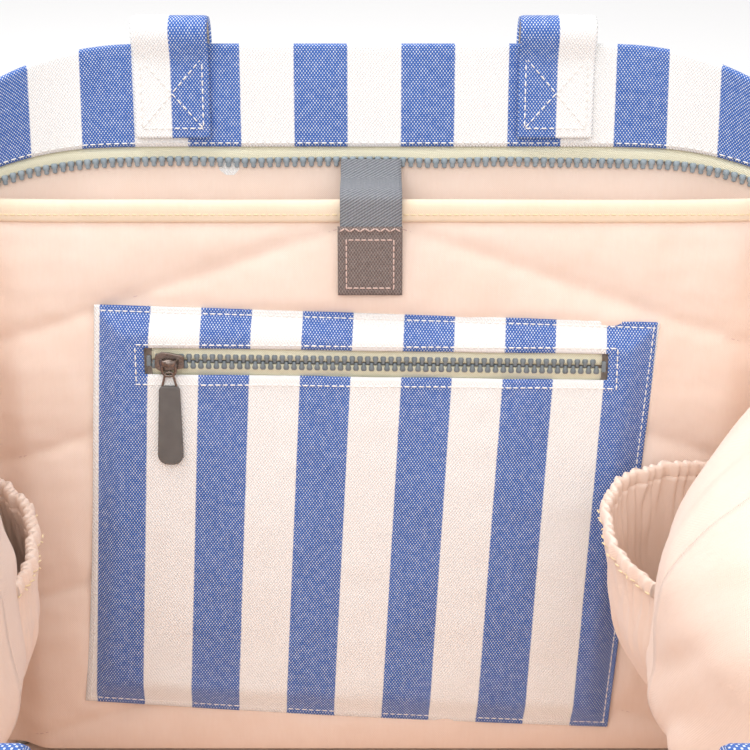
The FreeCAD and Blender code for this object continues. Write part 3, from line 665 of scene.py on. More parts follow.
def main_zip_half(panel):
    """One stringer of the main zip: its tape comes down from behind the facing and carries the teeth."""
    around = np.linspace(-0.994, 0.994, 361)[None, :]
    up = np.linspace(TAPE_LOW, TAPE_HIGH, 12)[:, None]
    depth = TAPE_DEPTH - 1.5 * MM * smooth((up - FACING_LOW + 0.008) / 0.008)
    waver = zip_line(panel, around) * (1 - smooth((up - TAPE_LOW - 0.004) / 0.01))
    cloth_at = side_by_side(around * CUT_HALF, up * WALL_LENGTH)
    tape = cloth("main_zip_tape_" + panel, skin(panel, around, up + waver, depth), cloth_at, [ZIP_TAPE], "root",
                 0.5 * MM, panel == "front", replaces=("zip_tape_" + panel,))
    fine = np.linspace(-0.993, 0.993, 1500)
    level = TAPE_LOW + zip_line(panel, fine)
    path = skin(panel, fine, level, np.full(1500, TAPE_DEPTH - 0.25 * MM))
    normals = wall_normal(panel, fine, level)
    centres, _, share = walk(path, 3.45 * MM, 2 * MM)
    out = between(share, np.linspace(0, 1, 1500), normals)
    at = np.interp(share, np.linspace(0, 1, 1500), fine)
    down = unit(surface(panel, at, np.full(len(at), 0.83)) - surface(panel, at, np.full(len(at), 0.855)))
    repeat("main_zip_teeth_" + panel, TOOTH, centres, down, out, [TOOTH_GREY], "root",
           replaces=("zip_teeth_" + panel,))


for side in ("back", "front"):
    canvas_wall(side)
    lining_wall(side)
    main_zip_half(side)
base_pieces()


# ======== laptop sleeve ======================================================================================
def quilt_line(x, top):
    """Height of one stitched chevron: it falls away evenly from a slightly rounded peak."""
    return top - QUILT_SLOPE * (np.sqrt((x - QUILT_CENTRE) ** 2 + (6 * MM) ** 2) - 6 * MM)


def sleeve_grid():
    """The sleeve's face as a grid in the wall's plane, with its rows drawn on to the quilting lines."""
    x = np.broadcast_to(np.linspace(-SLEEVE_HALF, SLEEVE_HALF, 85)[None, :], (62, 85))
    up = np.broadcast_to(np.linspace(SLEEVE_LOW, SLEEVE_HIGH, 62)[:, None], (62, 85)).copy()
    sewn = np.zeros(up.shape, bool)
    sewn[[0, -1]] = sewn[:, [0, -1]] = True
    for top in QUILT_TOPS:
        line = quilt_line(x[0], top)
        for column in np.flatnonzero((line > SLEEVE_LOW + 5 * MM) & (line < SLEEVE_HIGH - 3 * MM)):
            row = 1 + np.argmin(abs(up[1:-1, column] - line[column]))
            up[row, column], sewn[row, column] = line[column], True
    return x, up, sewn


def puff_up(piece, sewn):
    """Blow up the quilted cloth between its stitched lines by a short cloth simulation, and keep the result."""
    group = piece.vertex_groups.new(name="sewn")
    group.add(np.flatnonzero(sewn).tolist(), 1.0, "REPLACE")
    padding = piece.modifiers.new("padding", "CLOTH")
    settings = padding.settings
    settings.quality, settings.mass, settings.vertex_group_mass = 6, 0.12, "sewn"
    settings.tension_stiffness, settings.compression_stiffness, settings.shear_stiffness = 12, 12, 4
    settings.bending_stiffness = 0.02
    settings.use_pressure, settings.uniform_pressure_force = True, 6.0
    settings.shrink_min = -0.035
    settings.effector_weights.gravity = 0
    padding.point_cache.frame_end = 18
    scene = bpy.context.scene
    for moment in range(1, 19):
        scene.frame_set(moment)
    held = piece.evaluated_get(bpy.context.evaluated_depsgraph_get())
    points = np.empty(len(piece.data.vertices) * 3)
    held.data.vertices.foreach_get("co", points)
    piece.modifiers.remove(padding)
    piece.vertex_groups.remove(group)
    scene.frame_set(1)
    return points.reshape(-1, 3)


def pocket_local(x, up):
    """A place on the wall in the patch pocket's own directions, from its middle."""
    x, up = x - POCKET_CENTRE[0], up - POCKET_CENTRE[1]
    cosine, sine = math.cos(POCKET_TILT), math.sin(POCKET_TILT)
    return x * cosine + up * sine, up * cosine - x * sine


def sleeve():
    """The padded sleeve: a closed pad, thin along its quilting and puckered between."""
    x, up, sewn = sleeve_grid()
    count = x.size
    middle = 0.5 * (SLEEVE_BACK + SLEEVE_FRONT)
    faces = grid_faces(*x.shape)
    index = np.arange(count).reshape(x.shape)
    edge = np.concatenate([index[0], index[1:, -1], index[-1, -2::-1], index[-2:0:-1, 0]])
    after = np.roll(edge, -1)
    rim = np.stack([edge, edge + count, after + count, after], -1)
    start = np.concatenate([on_wall(x, up, middle + 0.5 * MM).reshape(-1, 3),
                            on_wall(x, up, middle - 0.5 * MM).reshape(-1, 3)])
    cloth_at = np.stack([x, up], -1).reshape(-1, 2)
    cloth_at = np.concatenate([cloth_at, cloth_at])
    piece = make_mesh("laptop_sleeve_quilting", start, [faces, faces[:, ::-1] + count, rim], cloth_at, [QUILTING])
    seams = [abs(up - quilt_line(x, top)) for top in QUILT_TOPS]
    nearest = np.min(seams + [SLEEVE_HALF - abs(x), up - SLEEVE_LOW, SLEEVE_HIGH - up], 0)
    soft = 3.3 * MM * (1 - np.exp(-nearest / (5 * MM)))
    moved = puff_up(piece, np.concatenate([sewn.ravel(), sewn.ravel()])) - start
    out = moved @ LEAN_IN
    swell = out * (1.3 * MM / np.percentile(abs(out), 92)) + np.concatenate([soft.ravel(), -soft.ravel()])
    moved += (swell - out)[:, None] * LEAN_IN
    points = start + moved
    flat = points - np.array([0, BASE_HALF_DEPTH, 0])
    across, height, inward = flat[:, 0], flat @ LEAN_UP, flat @ LEAN_IN
    front = np.arange(2 * count) < count
    crease = rumple(0.22 * across + 3 * height, height, 8 * MM, 21) * smooth((abs(across) - 112 * MM) / (8 * MM))
    from_seam = nearest.ravel()[np.arange(2 * count) % count]
    inward += np.where(front, 0.55 * MM * crease * smooth(from_seam / (5 * MM)), 0)
    rel_x, rel_up = pocket_local(across, height)
    under = (1 - smooth((abs(rel_x) - 0.5 * POCKET_SIZE[0]) / (5 * MM))) * (
        1 - smooth((abs(rel_up) - 0.5 * POCKET_SIZE[1]) / (5 * MM)))
    inward = np.where(front, np.minimum(inward, 20.6 * MM + (1 - under) * 9 * MM), np.maximum(inward, 14.5 * MM))
    inward += sleeve_bend(across, height)
    points = on_wall(across, height, inward)
    piece.data.vertices.foreach_set("co", points.astype(np.float32).ravel())
    piece.data.update()
    outward(piece)
    piece.modifiers.new("soft", "SUBSURF").render_levels = 1
    settle(piece, "root", ("laptop_sleeve",))


def quilt_stitches():
    """Fine rose thread along the chevrons, following the sewn face; none runs behind the pocket."""
    paths, normals = [], []
    for top in QUILT_TOPS:
        line = np.linspace(-SLEEVE_HALF + 2 * MM, SLEEVE_HALF - 2 * MM, 500)
        height = quilt_line(line, top)
        rel_x, rel_up = pocket_local(line, height)
        clear = (height > SLEEVE_LOW + 4 * MM) & (height < SLEEVE_HIGH - 2 * MM) & (
            (abs(rel_x) > 0.5 * POCKET_SIZE[0] + 2 * MM) | (abs(rel_up) > 0.5 * POCKET_SIZE[1] + 2 * MM))
        for run in np.split(np.flatnonzero(clear), np.flatnonzero(np.diff(np.flatnonzero(clear)) > 1) + 1):
            if len(run) > 8:
                at, level = line[run], 0.5 * (SLEEVE_BACK + SLEEVE_FRONT) + 0.75 * MM
                paths.append(on_wall(at, height[run], level + sleeve_bend(at, height[run])))
                normals.append(LEAN_IN)
    stitches("sleeve_quilt_stitches", paths, normals, pitch=3.0 * MM, thread=THREAD_ROSE)


def binding():
    """The folded strip that binds the sleeve's top edge, gently puckered along its stitching."""
    x = np.linspace(-SLEEVE_HALF - 1 * MM, SLEEVE_HALF + 1 * MM, 280)[:, None]
    turn = full_turn(20)[None, :]
    middle, half = 0.5 * (BINDING_LOW + BINDING_HIGH), 0.5 * (BINDING_HIGH - BINDING_LOW)
    pucker = rumple(x + 0 * turn, 0.3 * turn * MM, 5.5 * MM, 31)
    groove = np.exp(-((middle + half * np.cos(turn) - BINDING_SEAM) / (0.9 * MM)) ** 2)
    up = middle + half * squarer(np.cos(turn), 0.7) + 0.25 * MM * rumple(x, 0 * x, 30 * MM, 7)
    level = 19 * MM + squarer(np.sin(turn), 0.7) * (3.4 * MM + 0.22 * MM * pucker - 0.5 * MM * groove)
    rings = on_wall(x, up, level + sleeve_bend(x, up))
    cloth_at = side_by_side(x, turn * 4.2 * MM).reshape(-1, 2)
    piece = tube("sleeve_binding_cloth", rings, [BINDING], "root", cloth_at,
                 replaces=("sleeve_binding",))
    line = np.linspace(-SLEEVE_HALF, SLEEVE_HALF, 300)
    path = on_wall(line, np.full(300, BINDING_SEAM), 22.0 * MM + sleeve_bend(line, np.full(300, 248 * MM)))
    stitches("sleeve_binding_stitches", [path], [LEAN_IN], pitch=2.9 * MM, thread=THREAD_CREAM)


def soften(path, passes):
    """A line of points with its bends eased by repeated averaging; the ends stay."""
    path = np.array(path, float)
    for _ in range(passes):
        path[1:-1] = 0.25 * path[:-2] + 0.5 * path[1:-1] + 0.25 * path[2:]
    return path


def evenly(path, count):
    """A line of points resampled at even steps."""
    path = np.asarray(path, float)
    run = run_along(path)
    at = np.linspace(0, run[-1], count)
    return between(at, run, path)


def strap():
    """The closing strap: twill elastic from the zip's seam over the binding, and its stitched hook tab."""
    half = 0.5 * STRAP_WIDTH
    line = soften(evenly([(238 * MM, 25.3 * MM), (255.5 * MM, 25.6 * MM), (259.0 * MM, 22.5 * MM),
                          (262.0 * MM, 9.5 * MM), (269.5 * MM, 4.6 * MM)], 90), 12)
    run = run_along(line)
    x = np.linspace(-half, half, 17)[None, :]
    bow = 0.5 * MM * (1 - (x / half) ** 2)
    points = on_wall(x + STRAP_CENTRE, line[:, :1], line[:, 1:] + bow)
    cloth_at = side_by_side(x, run[:, None])
    elastic = cloth("strap_elastic_webbing", points, cloth_at, [ELASTIC], None, 1.2 * MM,
                    replaces=("strap_elastic",))
    on_wall(0, 267.5 * MM, 5 * MM)
    on_wall(0, 258.5 * MM, 24 * MM)
    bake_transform(elastic)
    up = np.linspace(TAB_LOW, TAB_HIGH, 40)[:, None]
    x = np.linspace(-half - 0.6 * MM, half + 0.6 * MM, 37)[None, :]
    edge = np.minimum(half + 0.6 * MM - abs(x), np.minimum(up - TAB_LOW, TAB_HIGH - up))
    sewn = np.exp(-((edge - 3 * MM) / (0.7 * MM)) ** 2)
    level = 26.1 * MM + 0.6 * MM * smooth(edge / (2 * MM)) - 0.35 * MM * sewn
    tab = cloth("strap_tab_cloth", on_wall(x + STRAP_CENTRE - 0.4 * MM, up, level), side_by_side(x, up), [HOOK_TAB],
                "strap", 1.9 * MM, replaces=("strap_hook_tab",))
    centre, face = STRAP_CENTRE - 0.4 * MM, 26.45 * MM
    corners = np.array([(-9.6, 219), (9.6, 219), (9.6, 238.6), (-9.6, 238.6), (-9.6, 219)]) * MM
    box = evenly(corners, 200)
    turns = np.arange(13)
    zigzag = np.stack([(-12.2 + 2.03 * turns) * MM, (242.0 + 1.3 * (turns % 2)) * MM], -1)
    stitches("strap_tab_stitches", [on_wall(box[:, 0] + centre, box[:, 1], face)], [LEAN_IN], "strap",
             2.6 * MM, THREAD_ROSE)
    path = on_wall(zigzag[:, 0] + centre, zigzag[:, 1], face + 0.2 * MM)
    stitches("strap_tab_zigzag", [path], [LEAN_IN], "strap", 2.42 * MM, THREAD_ROSE)
    up = np.linspace(218 * MM, 242 * MM, 14)[:, None]
    x = np.linspace(-11 * MM, 11 * MM, 13)[None, :]
    patch = cloth("loop_patch_cloth", on_wall(x + STRAP_CENTRE, up, 23.9 * MM), side_by_side(x, up),
                  [LOOP_TAPE], "root", 1.2 * MM, replaces=("loop_patch",))


sleeve()
quilt_stitches()
binding()
strap()


# ======== patch pocket =====================================================================================
def pocket_edges(share):
    """The pocket's left and right edges in the wall's plane at a share of its height; the left one bows."""
    left = -127.7 * MM + 12.2 * MM * share + 2.2 * MM * np.sin(math.pi * share) * (1 - share)
    return left, 103 * MM + 14.5 * MM * share


def pocket_grid():
    """The pocket's cloth as a grid with rows and columns along the edges of the zip's window."""
    ends = (ZIP_CENTRE[0] - 0.5 * ZIP_LENGTH, ZIP_CENTRE[0] + 0.5 * ZIP_LENGTH)
    blocks = ((14, 0.0), (120, 1.0), (12, 2.0))
    steps = [np.linspace(start, start + 1, count, endpoint=False) for count, start in blocks]
    steps = np.concatenate(steps + [[3.0]])
    rows = np.concatenate([np.linspace(0, 1, 96, endpoint=False), np.linspace(1, 2, 6, endpoint=False),
                           np.linspace(2, 3, 16)])[:, None]
    steps = np.broadcast_to(steps[None, :], (len(rows), len(steps)))
    guess = np.interp(rows, [0, 1, 2, 3], [0, 0.87, 0.93, 1.0])
    left, right = pocket_edges(guess)
    x = np.where(steps < 1, left + (ends[0] - left) * steps, np.where(
        steps < 2, ends[0] + (ends[1] - ends[0]) * (steps - 1), ends[1] + (right - ends[1]) * (steps - 2)))
    share = (x - POCKET_START) / POCKET_RUN
    low_edge = POCKET_FOOT - FOOT_FALL * share - FOOT_SAG * np.sin(math.pi * share)
    high_edge = POCKET_HEAD - HEAD_FALL * share
    zip_up = ZIP_CENTRE[1] + math.tan(ZIP_TILT) * (x - ZIP_CENTRE[0])
    window_low, window_high = zip_up - 0.5 * ZIP_WINDOW, zip_up + 0.5 * ZIP_WINDOW
    up = np.where(rows < 1, low_edge + (window_low - low_edge) * rows, np.where(
        rows < 2, window_low + (window_high - window_low) * (rows - 1),
        window_high + (high_edge - window_high) * (rows - 2)))
    window = (steps[:-1, :-1] >= 0.999) & (steps[:-1, :-1] < 1.999) & (rows[:-1] >= 0.999) & (rows[:-1] < 1.999)
    edge = np.minimum(np.minimum(x - left, right - x), np.minimum(up - low_edge, high_edge - up))
    gap = np.maximum(np.maximum(ends[0] - x, x - ends[1]), abs(up - zip_up) - 0.5 * ZIP_WINDOW)
    return x, up, ~window, edge, gap


def pocket_level(x, up, edge, gap):
    """How far in the pocket's face stands: down on the sleeve round its seams, lifted over the zip."""
    level = POCKET_SEAM + (POCKET_FACE - POCKET_SEAM) * smooth(edge / (13 * MM))
    waves = 0.7 * rumple(x, 0.45 * up, 26 * MM, 41) + 0.25 * rumple(x, up, 9 * MM, 42)
    level += smooth(edge / (20 * MM)) * MM * waves
    level -= 0.55 * MM * np.exp(-((edge - 2.2 * MM) / (0.9 * MM)) ** 2)
    return level - 0.5 * MM * np.exp(-(gap / (1.6 * MM)) ** 2)


def patch_pocket():
    """The striped patch pocket, sewn round its edges and round the window for its zip."""
    x, up, keep, edge, gap = pocket_grid()
    rel_x, rel_up = pocket_local(x, up)
    cloth_at = np.stack([(rel_x + 80.6 * MM) * STRIPE / POCKET_STRIPE, rel_up], -1)
    level = pocket_level(x, up, edge, gap)
    piece = cloth("patch_pocket_canvas", on_wall(x, up, level), cloth_at, [CANVAS, PALE_CANVAS], "root",
                  CANVAS_THICK, keep=keep, replaces=("patch_pocket",))
    share = np.linspace(0.008, 0.992, 300)
    left, right = pocket_edges(share)
    inset = 2.2 * MM
    across = np.linspace(0, 1, 300)
    rows = []
    for height, direction in ((inset, 1), (-inset, -1)):
        begin, width = (-127.7, 226.5) if direction > 0 else (-115.5, 228.6)
        run = begin * MM + 2.2 * MM + across * width * MM
        part = (run - POCKET_START) / POCKET_RUN
        edge_up = POCKET_HEAD - HEAD_FALL * part
        if direction > 0:
            edge_up = POCKET_FOOT - FOOT_FALL * part - FOOT_SAG * np.sin(math.pi * part)
        rows.append(np.stack([run, edge_up + height], -1))
    for side, sign in ((left, 1), (right, -1)):
        part = (side - POCKET_START) / POCKET_RUN
        low, high = POCKET_FOOT - FOOT_FALL * part, POCKET_HEAD - HEAD_FALL * part
        rows.append(np.stack([side + sign * inset, low + (high - low) * share], -1))
    frame_corners = np.array([(-98.5, 195.7), (99.7, 194.0), (99.7, 177.1), (-98.5, 179.0), (-98.5, 195.7)]) * MM
    rows.append(evenly(frame_corners, 900))
    paths = []
    for row in rows:
        inner = row is rows[-1]
        edge_at = np.full(len(row), 14 * MM if inner else inset)
        gap_at = np.full(len(row), 3.3 * MM if inner else 30 * MM)
        level = pocket_level(row[:, 0], row[:, 1], edge_at, gap_at)
        paths.append(on_wall(row[:, 0], row[:, 1], level + 0.1 * MM))
    stitches("patch_pocket_stitches", paths, [LEAN_IN] * len(paths), pitch=3.0 * MM)


# ======== zips, sliders and pulls ============================================================================
def axes_of(origin, first, third):
    """A 4 by 3 table: origin, along, across and out."""
    first, third = unit(np.array(first, float)), unit(np.array(third, float))
    return np.array([origin, first, np.cross(third, first), third])


def placed(place, u, v, w):
    """Points given along, across and out from a place."""
    u, v, w = np.broadcast_arrays(np.asarray(u, float), np.asarray(v, float), np.asarray(w, float))
    return place[0] + u[..., None] * place[1] + v[..., None] * place[2] + w[..., None] * place[3]


def pocket_place():
    """The pocket zip's frame: along it, up across it, out of the wall."""
    along = np.array([math.cos(ZIP_TILT), 0, 0]) + math.sin(ZIP_TILT) * LEAN_UP
    return axes_of(on_wall(*ZIP_CENTRE, CHAIN_LEVEL), along, LEAN_IN)


def tail_place():
    """The main zip's tail: it runs inwards over the left rim and stands just above it."""
    rim, low = surface("back", -1.0, 1.0), surface("back", -1.0, FACING_LOW)
    along = unit(np.array([low[0] - rim[0], 0, low[2] - rim[2]]))
    out = np.cross(along, [0, 1.0, 0])
    return axes_of(rim + out * 8.3 * MM, along, out)


# clamped foot, waist, and the head that locks between its neighbours
MESHED_TOOTH = shape_along([(-0.55 * MM, 0, 0.85 * MM, 0.7 * MM), (0.1 * MM, 0, 1.2 * MM, 1.05 * MM),
                            (1.0 * MM, 0, 1.1 * MM, 1.05 * MM), (1.7 * MM, 0, 0.75 * MM, 0.95 * MM),
                            (2.4 * MM, 0, 0.85 * MM, 0.85 * MM), (2.8 * MM, 0, 0.5 * MM, 0.6 * MM)])


def closed_zip(name, place, first, last, reach, tooth_material, nodes, drop):
    """A length of closed zip: two tapes that dip towards their seams, and teeth that mesh from each side."""
    across = np.linspace(0, 1, 9)[:, None]
    u = np.linspace(first, last, 90)[None, :]
    for side, label in ((-1, "lower"), (1, "upper")):
        v = side * (0.7 * MM + (reach - 0.7 * MM) * across)
        w = 0.25 * MM - drop * smooth((abs(v) - 3.6 * MM) / (2 * MM)) + 0 * u
        points = placed(place, u, v, w)
        tape = cloth(name + "_stringer_" + label, points, side_by_side(u, v), [ZIP_TAPE], "root",
                     0.5 * MM, flip=side < 0, replaces=nodes["tape_" + label])
        pitch = 3.2 * MM
        at = np.arange(first + (1.6 * MM if side > 0 else 0) + 1 * MM, last - 1 * MM, pitch)
        centres = placed(place, at, side * 2.5 * MM, 0.1 * MM)
        ahead = np.broadcast_to(-side * place[2], centres.shape)
        out = np.broadcast_to(place[3], centres.shape)
        repeat(name + "_moulded_teeth_" + label, MESHED_TOOTH, centres, ahead, out, [tooth_material], "root",
               replaces=nodes["teeth_" + label])


def plate(name, place, outline, low, high, material, body, soft=0.35 * MM, replaces=()):
    """A flat plate with a rounded edge, from its outline along and across and its two levels."""
    outline = np.asarray(outline, float)
    count = len(outline)
    points = np.concatenate([placed(place, outline[:, 0], outline[:, 1], level) for level in (low, high)])
    turn = np.arange(count)
    sides = np.stack([turn, (turn + 1) % count, (turn + 1) % count + count, turn + count], -1)
    piece = make_mesh(name, points, [sides, turn[None, ::-1], turn[None, :] + count], None, [material], soft=False)
    outward(piece)
    edge = piece.modifiers.new("rounded edge", "BEVEL")
    edge.width, edge.segments, edge.limit_method, edge.angle_limit = soft, 2, "ANGLE", math.radians(50)
    return settle(piece, body, replaces)


def wire(name, path, radius, material, body, closed=True, replaces=()):
    """A bent round wire along a line of points."""
    path = np.asarray(path, float)
    if closed:
        ahead = unit(np.roll(path, -1, 0) - np.roll(path, 1, 0))
    else:
        ahead = unit(np.gradient(path, axis=0))
    middle = path.mean(0)
    plane = unit(np.linalg.svd(path - middle)[2][2])
    side = unit(np.cross(ahead, plane))
    turn = full_turn(12)
    cosine, sine = np.cos(turn)[None, :, None], np.sin(turn)[None, :, None]
    rings = path[:, None] + radius * (side[:, None] * cosine + plane * sine)
    return tube(name, rings, [material], body, closed_path=closed, replaces=replaces)


def rounded_box(u0, u1, half_start, half_end, corner_start, corner_end, steps=7):
    """A four-sided outline whose width may change along it, with rounded corners of its own at each end."""
    result = []
    for u, v, radius, begin in ((u1, half_end, corner_end, 0.0), (u0, half_start, corner_start, 0.5),
                                (u0, -half_start, corner_start, 1.0), (u1, -half_end, corner_end, 1.5)):
        centre = (u - math.copysign(radius, u - 0.5 * (u0 + u1)), v - math.copysign(radius, v))
        for angle in np.linspace(begin * math.pi, (begin + 0.5) * math.pi, steps):
            result.append((centre[0] + radius * math.cos(angle), centre[1] + radius * math.sin(angle)))
    return result


def slider(name, zip_place, start, pull_along, cad, nose):
    """A slider with its two plates, post, flanges and bridge, and the pull that swings on it.

    nose is 1 or -1: the wide end of the slider's plates, towards the open side of the zip.
    """
    here = zip_place.copy()
    here[0] = placed(zip_place, start, 0.0, 0.0)
    shield = np.array([(6.0, 1.9), (5.2, 3.2), (3.2, 4.1), (0.5, 3.9), (-3.4, 3.1), (-5.4, 2.7), (-6.0, 2.1),
                       (-6.0, -2.1), (-5.4, -2.7), (-3.4, -3.1), (0.5, -3.9), (3.2, -4.1), (5.2, -3.2),
                       (6.0, -1.9)])
    shield = shield * MM * np.array([nose, 1])
    plate(name + "_front_plate", here, shield, 1.5 * MM, 2.65 * MM, GUNMETAL, cad, replaces=(cad,))
    plate(name + "_back_plate", here, shield, -2.65 * MM, -1.5 * MM, GUNMETAL, cad)
    post = np.array([(5.6, 0.0), (4.6, 0.75), (2.4, 0.0), (4.6, -0.75)]) * MM * np.array([nose, 1])
    plate(name + "_post", here, post, -1.6 * MM, 1.6 * MM, GUNMETAL, cad, 0.15 * MM)
    for label, side in (("upper", 1), ("lower", -1)):
        flange = np.array([(0.6, 3.3), (0.6, 3.85), (-5.2, 2.75), (-5.2, 2.2)]) * MM * np.array([nose, side])
        plate(name + "_flange_" + label, here, flange, 1.0 * MM, 1.9 * MM, GUNMETAL, cad, 0.15 * MM)
        plate(name + "_lip_" + label, here, flange, -1.9 * MM, -1.0 * MM, GUNMETAL, cad, 0.15 * MM)
    pull = axes_of(here[0], pull_along, zip_place[3])
    arch = [(-3.4, 2.5), (-3.3, 4.4), (-2.2, 6.0), (0.0, 6.6), (2.2, 6.0), (3.3, 4.4), (3.4, 2.5)]
    arch = soften(evenly(np.array(arch) * MM, 60), 20)
    cross = axes_of(here[0], zip_place[1], zip_place[3])
    turn = full_turn(12)
    ahead = unit(np.gradient(arch, axis=0))
    rings = []
    for (u, w), (du, dw) in zip(arch, ahead):
        thick = 0.62 * MM * squarer(np.cos(turn), 0.7)
        wide = 1.35 * MM * squarer(np.sin(turn), 0.7)
        rings.append(placed(cross, u - dw * thick, wide, w + du * thick))
    tube(name + "_bridge", np.array(rings), [GUNMETAL], cad)
    swing = "main_pull" if cad == "main_slider" else "pocket_pull"
    turn = full_turn(48)
    loop_u = 2.35 * MM + 3.2 * MM * squarer(np.cos(turn), 0.8)
    loop_v = 2.8 * MM * squarer(np.sin(turn), 0.8)
    wire(name + "_ring", placed(pull, loop_u, loop_v, PIN_LEVEL - 0.16 * loop_u), 0.65 * MM, GUNMETAL, swing,
         replaces=(swing + "_ring",))
    link = rounded_box(4.0 * MM, 11.2 * MM, 1.75 * MM, 2.9 * MM, 1.4 * MM, 1.2 * MM)
    link = evenly(link + [(11.2 * MM, 1.7 * MM)], 60)[:-1]
    wire(name + "_link", placed(pull, link[:, 0], link[:, 1], 3.95 * MM - 0.09 * (link[:, 0] - 4 * MM)), 0.5 * MM,
         GUNMETAL, swing, replaces=(swing + "_link",))
    tab = rounded_box(9.9 * MM, 43.5 * MM, 4.3 * MM, 5.3 * MM, 1.8 * MM, 4.2 * MM)
    plate(name + "_tab", pull, tab, 2.35 * MM, 4.55 * MM, RUBBER, swing, 0.55 * MM,
          replaces=(swing + "_tab",))


def zips():
    """The pocket's zip and the main zip's tail, with their stops, end tab, sliders and pulls."""
    place = pocket_place()
    half = 0.5 * ZIP_LENGTH
    closed_zip("pocket_zip", place, -half + 3 * MM, half - 2.5 * MM, 0.5 * ZIP_WINDOW + 5.2 * MM, POCKET_TOOTH,
               {"tape_lower": ("pocket_zip_tape_lower",), "tape_upper": ("pocket_zip_tape_upper",),
                "teeth_lower": ("pocket_teeth_lower",), "teeth_upper": ("pocket_teeth_upper",),
                "holder": ["patch_pocket_canvas"]}, 1.2 * MM)
    for label, u in (("left", -half + 1.8 * MM), ("right", half - 1.6 * MM)):
        stop = rounded_box(u - 0.9 * MM, u + 0.9 * MM, 2.3 * MM, 2.3 * MM, 0.5 * MM, 0.5 * MM)
        plate("pocket_zip_stop_" + label, place, stop, -0.9 * MM, 1.0 * MM, POCKET_TOOTH, "root",
              replaces=("pocket_zip_stops",) if label == "left" else ())
    slider("pocket_slider", place, SLIDER_START, -place[2], "pocket_slider", -1)
    place = tail_place()
    closed_zip("main_zip_tail", place, -13.7 * MM, 38 * MM, 14 * MM, TOOTH_GREY,
               {"tape_lower": ("zip_tail_tape",), "tape_upper": (), "teeth_lower": ("zip_tail_teeth",),
                "teeth_upper": (), "holder": ["back_canvas"]}, 0.1 * MM)
    u = np.linspace(-26 * MM, -13 * MM, 16)[None, :]
    v = np.linspace(-15 * MM, 15 * MM, 30)[:, None]
    for label, side in (("top", 1), ("under", -1)):
        edge = np.minimum(np.minimum(u + 26 * MM, -13 * MM - u), 15 * MM - abs(v))
        level = side * (0.35 * MM + 1.2 * MM * smooth(edge / (2.2 * MM)))
        tab = cloth("main_zip_end_tab_" + label, placed(place, u, v, level), side_by_side(v, u),
                    [CANVAS], "root", 0.9 * MM, flip=side < 0,
                    replaces=("zip_tail_end",) if side > 0 else ())
    box = evenly(np.array([(-24, -12.8), (-24, 12.8), (-15, 12.8), (-15, -12.8), (-24, -12.8)]) * MM, 300)
    stitches("main_zip_end_stitches", [placed(place, box[:, 0], box[:, 1], 1.6 * MM)], [place[3]])
    slider("main_slider", place, -4 * MM, place[1], "main_slider", 1)


patch_pocket()
zips()


# ======== gathered side pockets ================================================================================
def side_pocket(label, side):
    """A cotton pocket on a folded side wall, drawn in along its rim by elastic in a ruffled casing."""
    first, last, low, high = 0.655, 0.93, 0.08, 0.427
    bulge, cut_width = (37 * MM, 0.15) if side > 0 else (12 * MM, 0.12)

    def gathers(share, seed):
        wander = rumple(share * 0.2, 0 * share, 11 * MM, seed)
        uneven = 0.75 + 0.25 * rumple(share * 0.2, 0 * share, 7 * MM, seed + 1)
        return np.cos(2 * math.pi * 27 * share + 2.4 * wander) * uneven

    def stand_off(share, up):
        rise = np.sqrt(np.clip((up - low) / (high - low), 0, 1))
        edge = smooth(np.minimum(share, 1 - share) / 0.04)
        ruche = np.exp(-((high - up) / 0.05)) * gathers(share, 51) * 1.5 * MM * edge
        fall = smooth((up - low) / 0.1) * edge * MM
        folds = 1.6 * rumple(share * 0.26, 0.12 * up, 19 * MM, 53)
        folds = folds + rumple(share * 0.26 + 0.1 * up, 0.2 * up, 8 * MM, 54)
        return 4.0 * MM + bulge * np.sin(math.pi * share) * rise + ruche + fall * folds

    share = np.linspace(0, 1, 281)[None, :]
    up = (low + (high - low) * np.linspace(0, 1, 60) ** 1.25)[:, None]
    around = side * (first + (last - first) * share)
    points = skin("back", around, up, stand_off(share, up))
    cloth_at = side_by_side(share * cut_width, up * WALL_LENGTH)
    piece = cloth(label + "_side_pocket_cloth", points, cloth_at, [LINING], "root", 0.7 * MM,
                  flip=side < 0, replaces=(label + "_side_pocket",))
    share = np.linspace(0, 1, 281)
    around = side * (first + (last - first) * share)
    ruffle = gathers(share, 51)
    mouth_level = stand_off(share, np.full(281, high))
    turn = full_turn(16)
    rings = []
    for angle in turn:
        cosine, sine = math.cos(angle), math.sin(angle)
        height = high + 0.0102 + (0.0126 + 0.0012 * ruffle * max(cosine, 0)) * squarer(cosine, 0.7)
        swell = 1.9 * MM * squarer(sine, 0.8) - 0.9 * MM * ruffle * abs(sine)
        rings.append(skin("back", around, height, mouth_level + 0.6 * MM + swell))
    rings = np.stack(rings, 1)
    cloth_at = side_by_side((share * cut_width)[:, None], turn[None, :] * 3 * MM).reshape(-1, 2)
    casing = tube(label + "_pocket_casing", rings, [LINING], "root", cloth_at,
                  replaces=(label + "_pocket_elastic",))
    path = skin("back", around, np.full(281, high + 0.002), mouth_level + 1.1 * MM + 0.9 * MM)
    normals = wall_normal("back", around, np.full(281, high))
    stitches(label + "_pocket_stitches", [path], [normals], pitch=2.8 * MM,
             thread=THREAD_CREAM)


for pocket_label, pocket_side in (("left", -1), ("right", 1)):
    side_pocket(pocket_label, pocket_side)


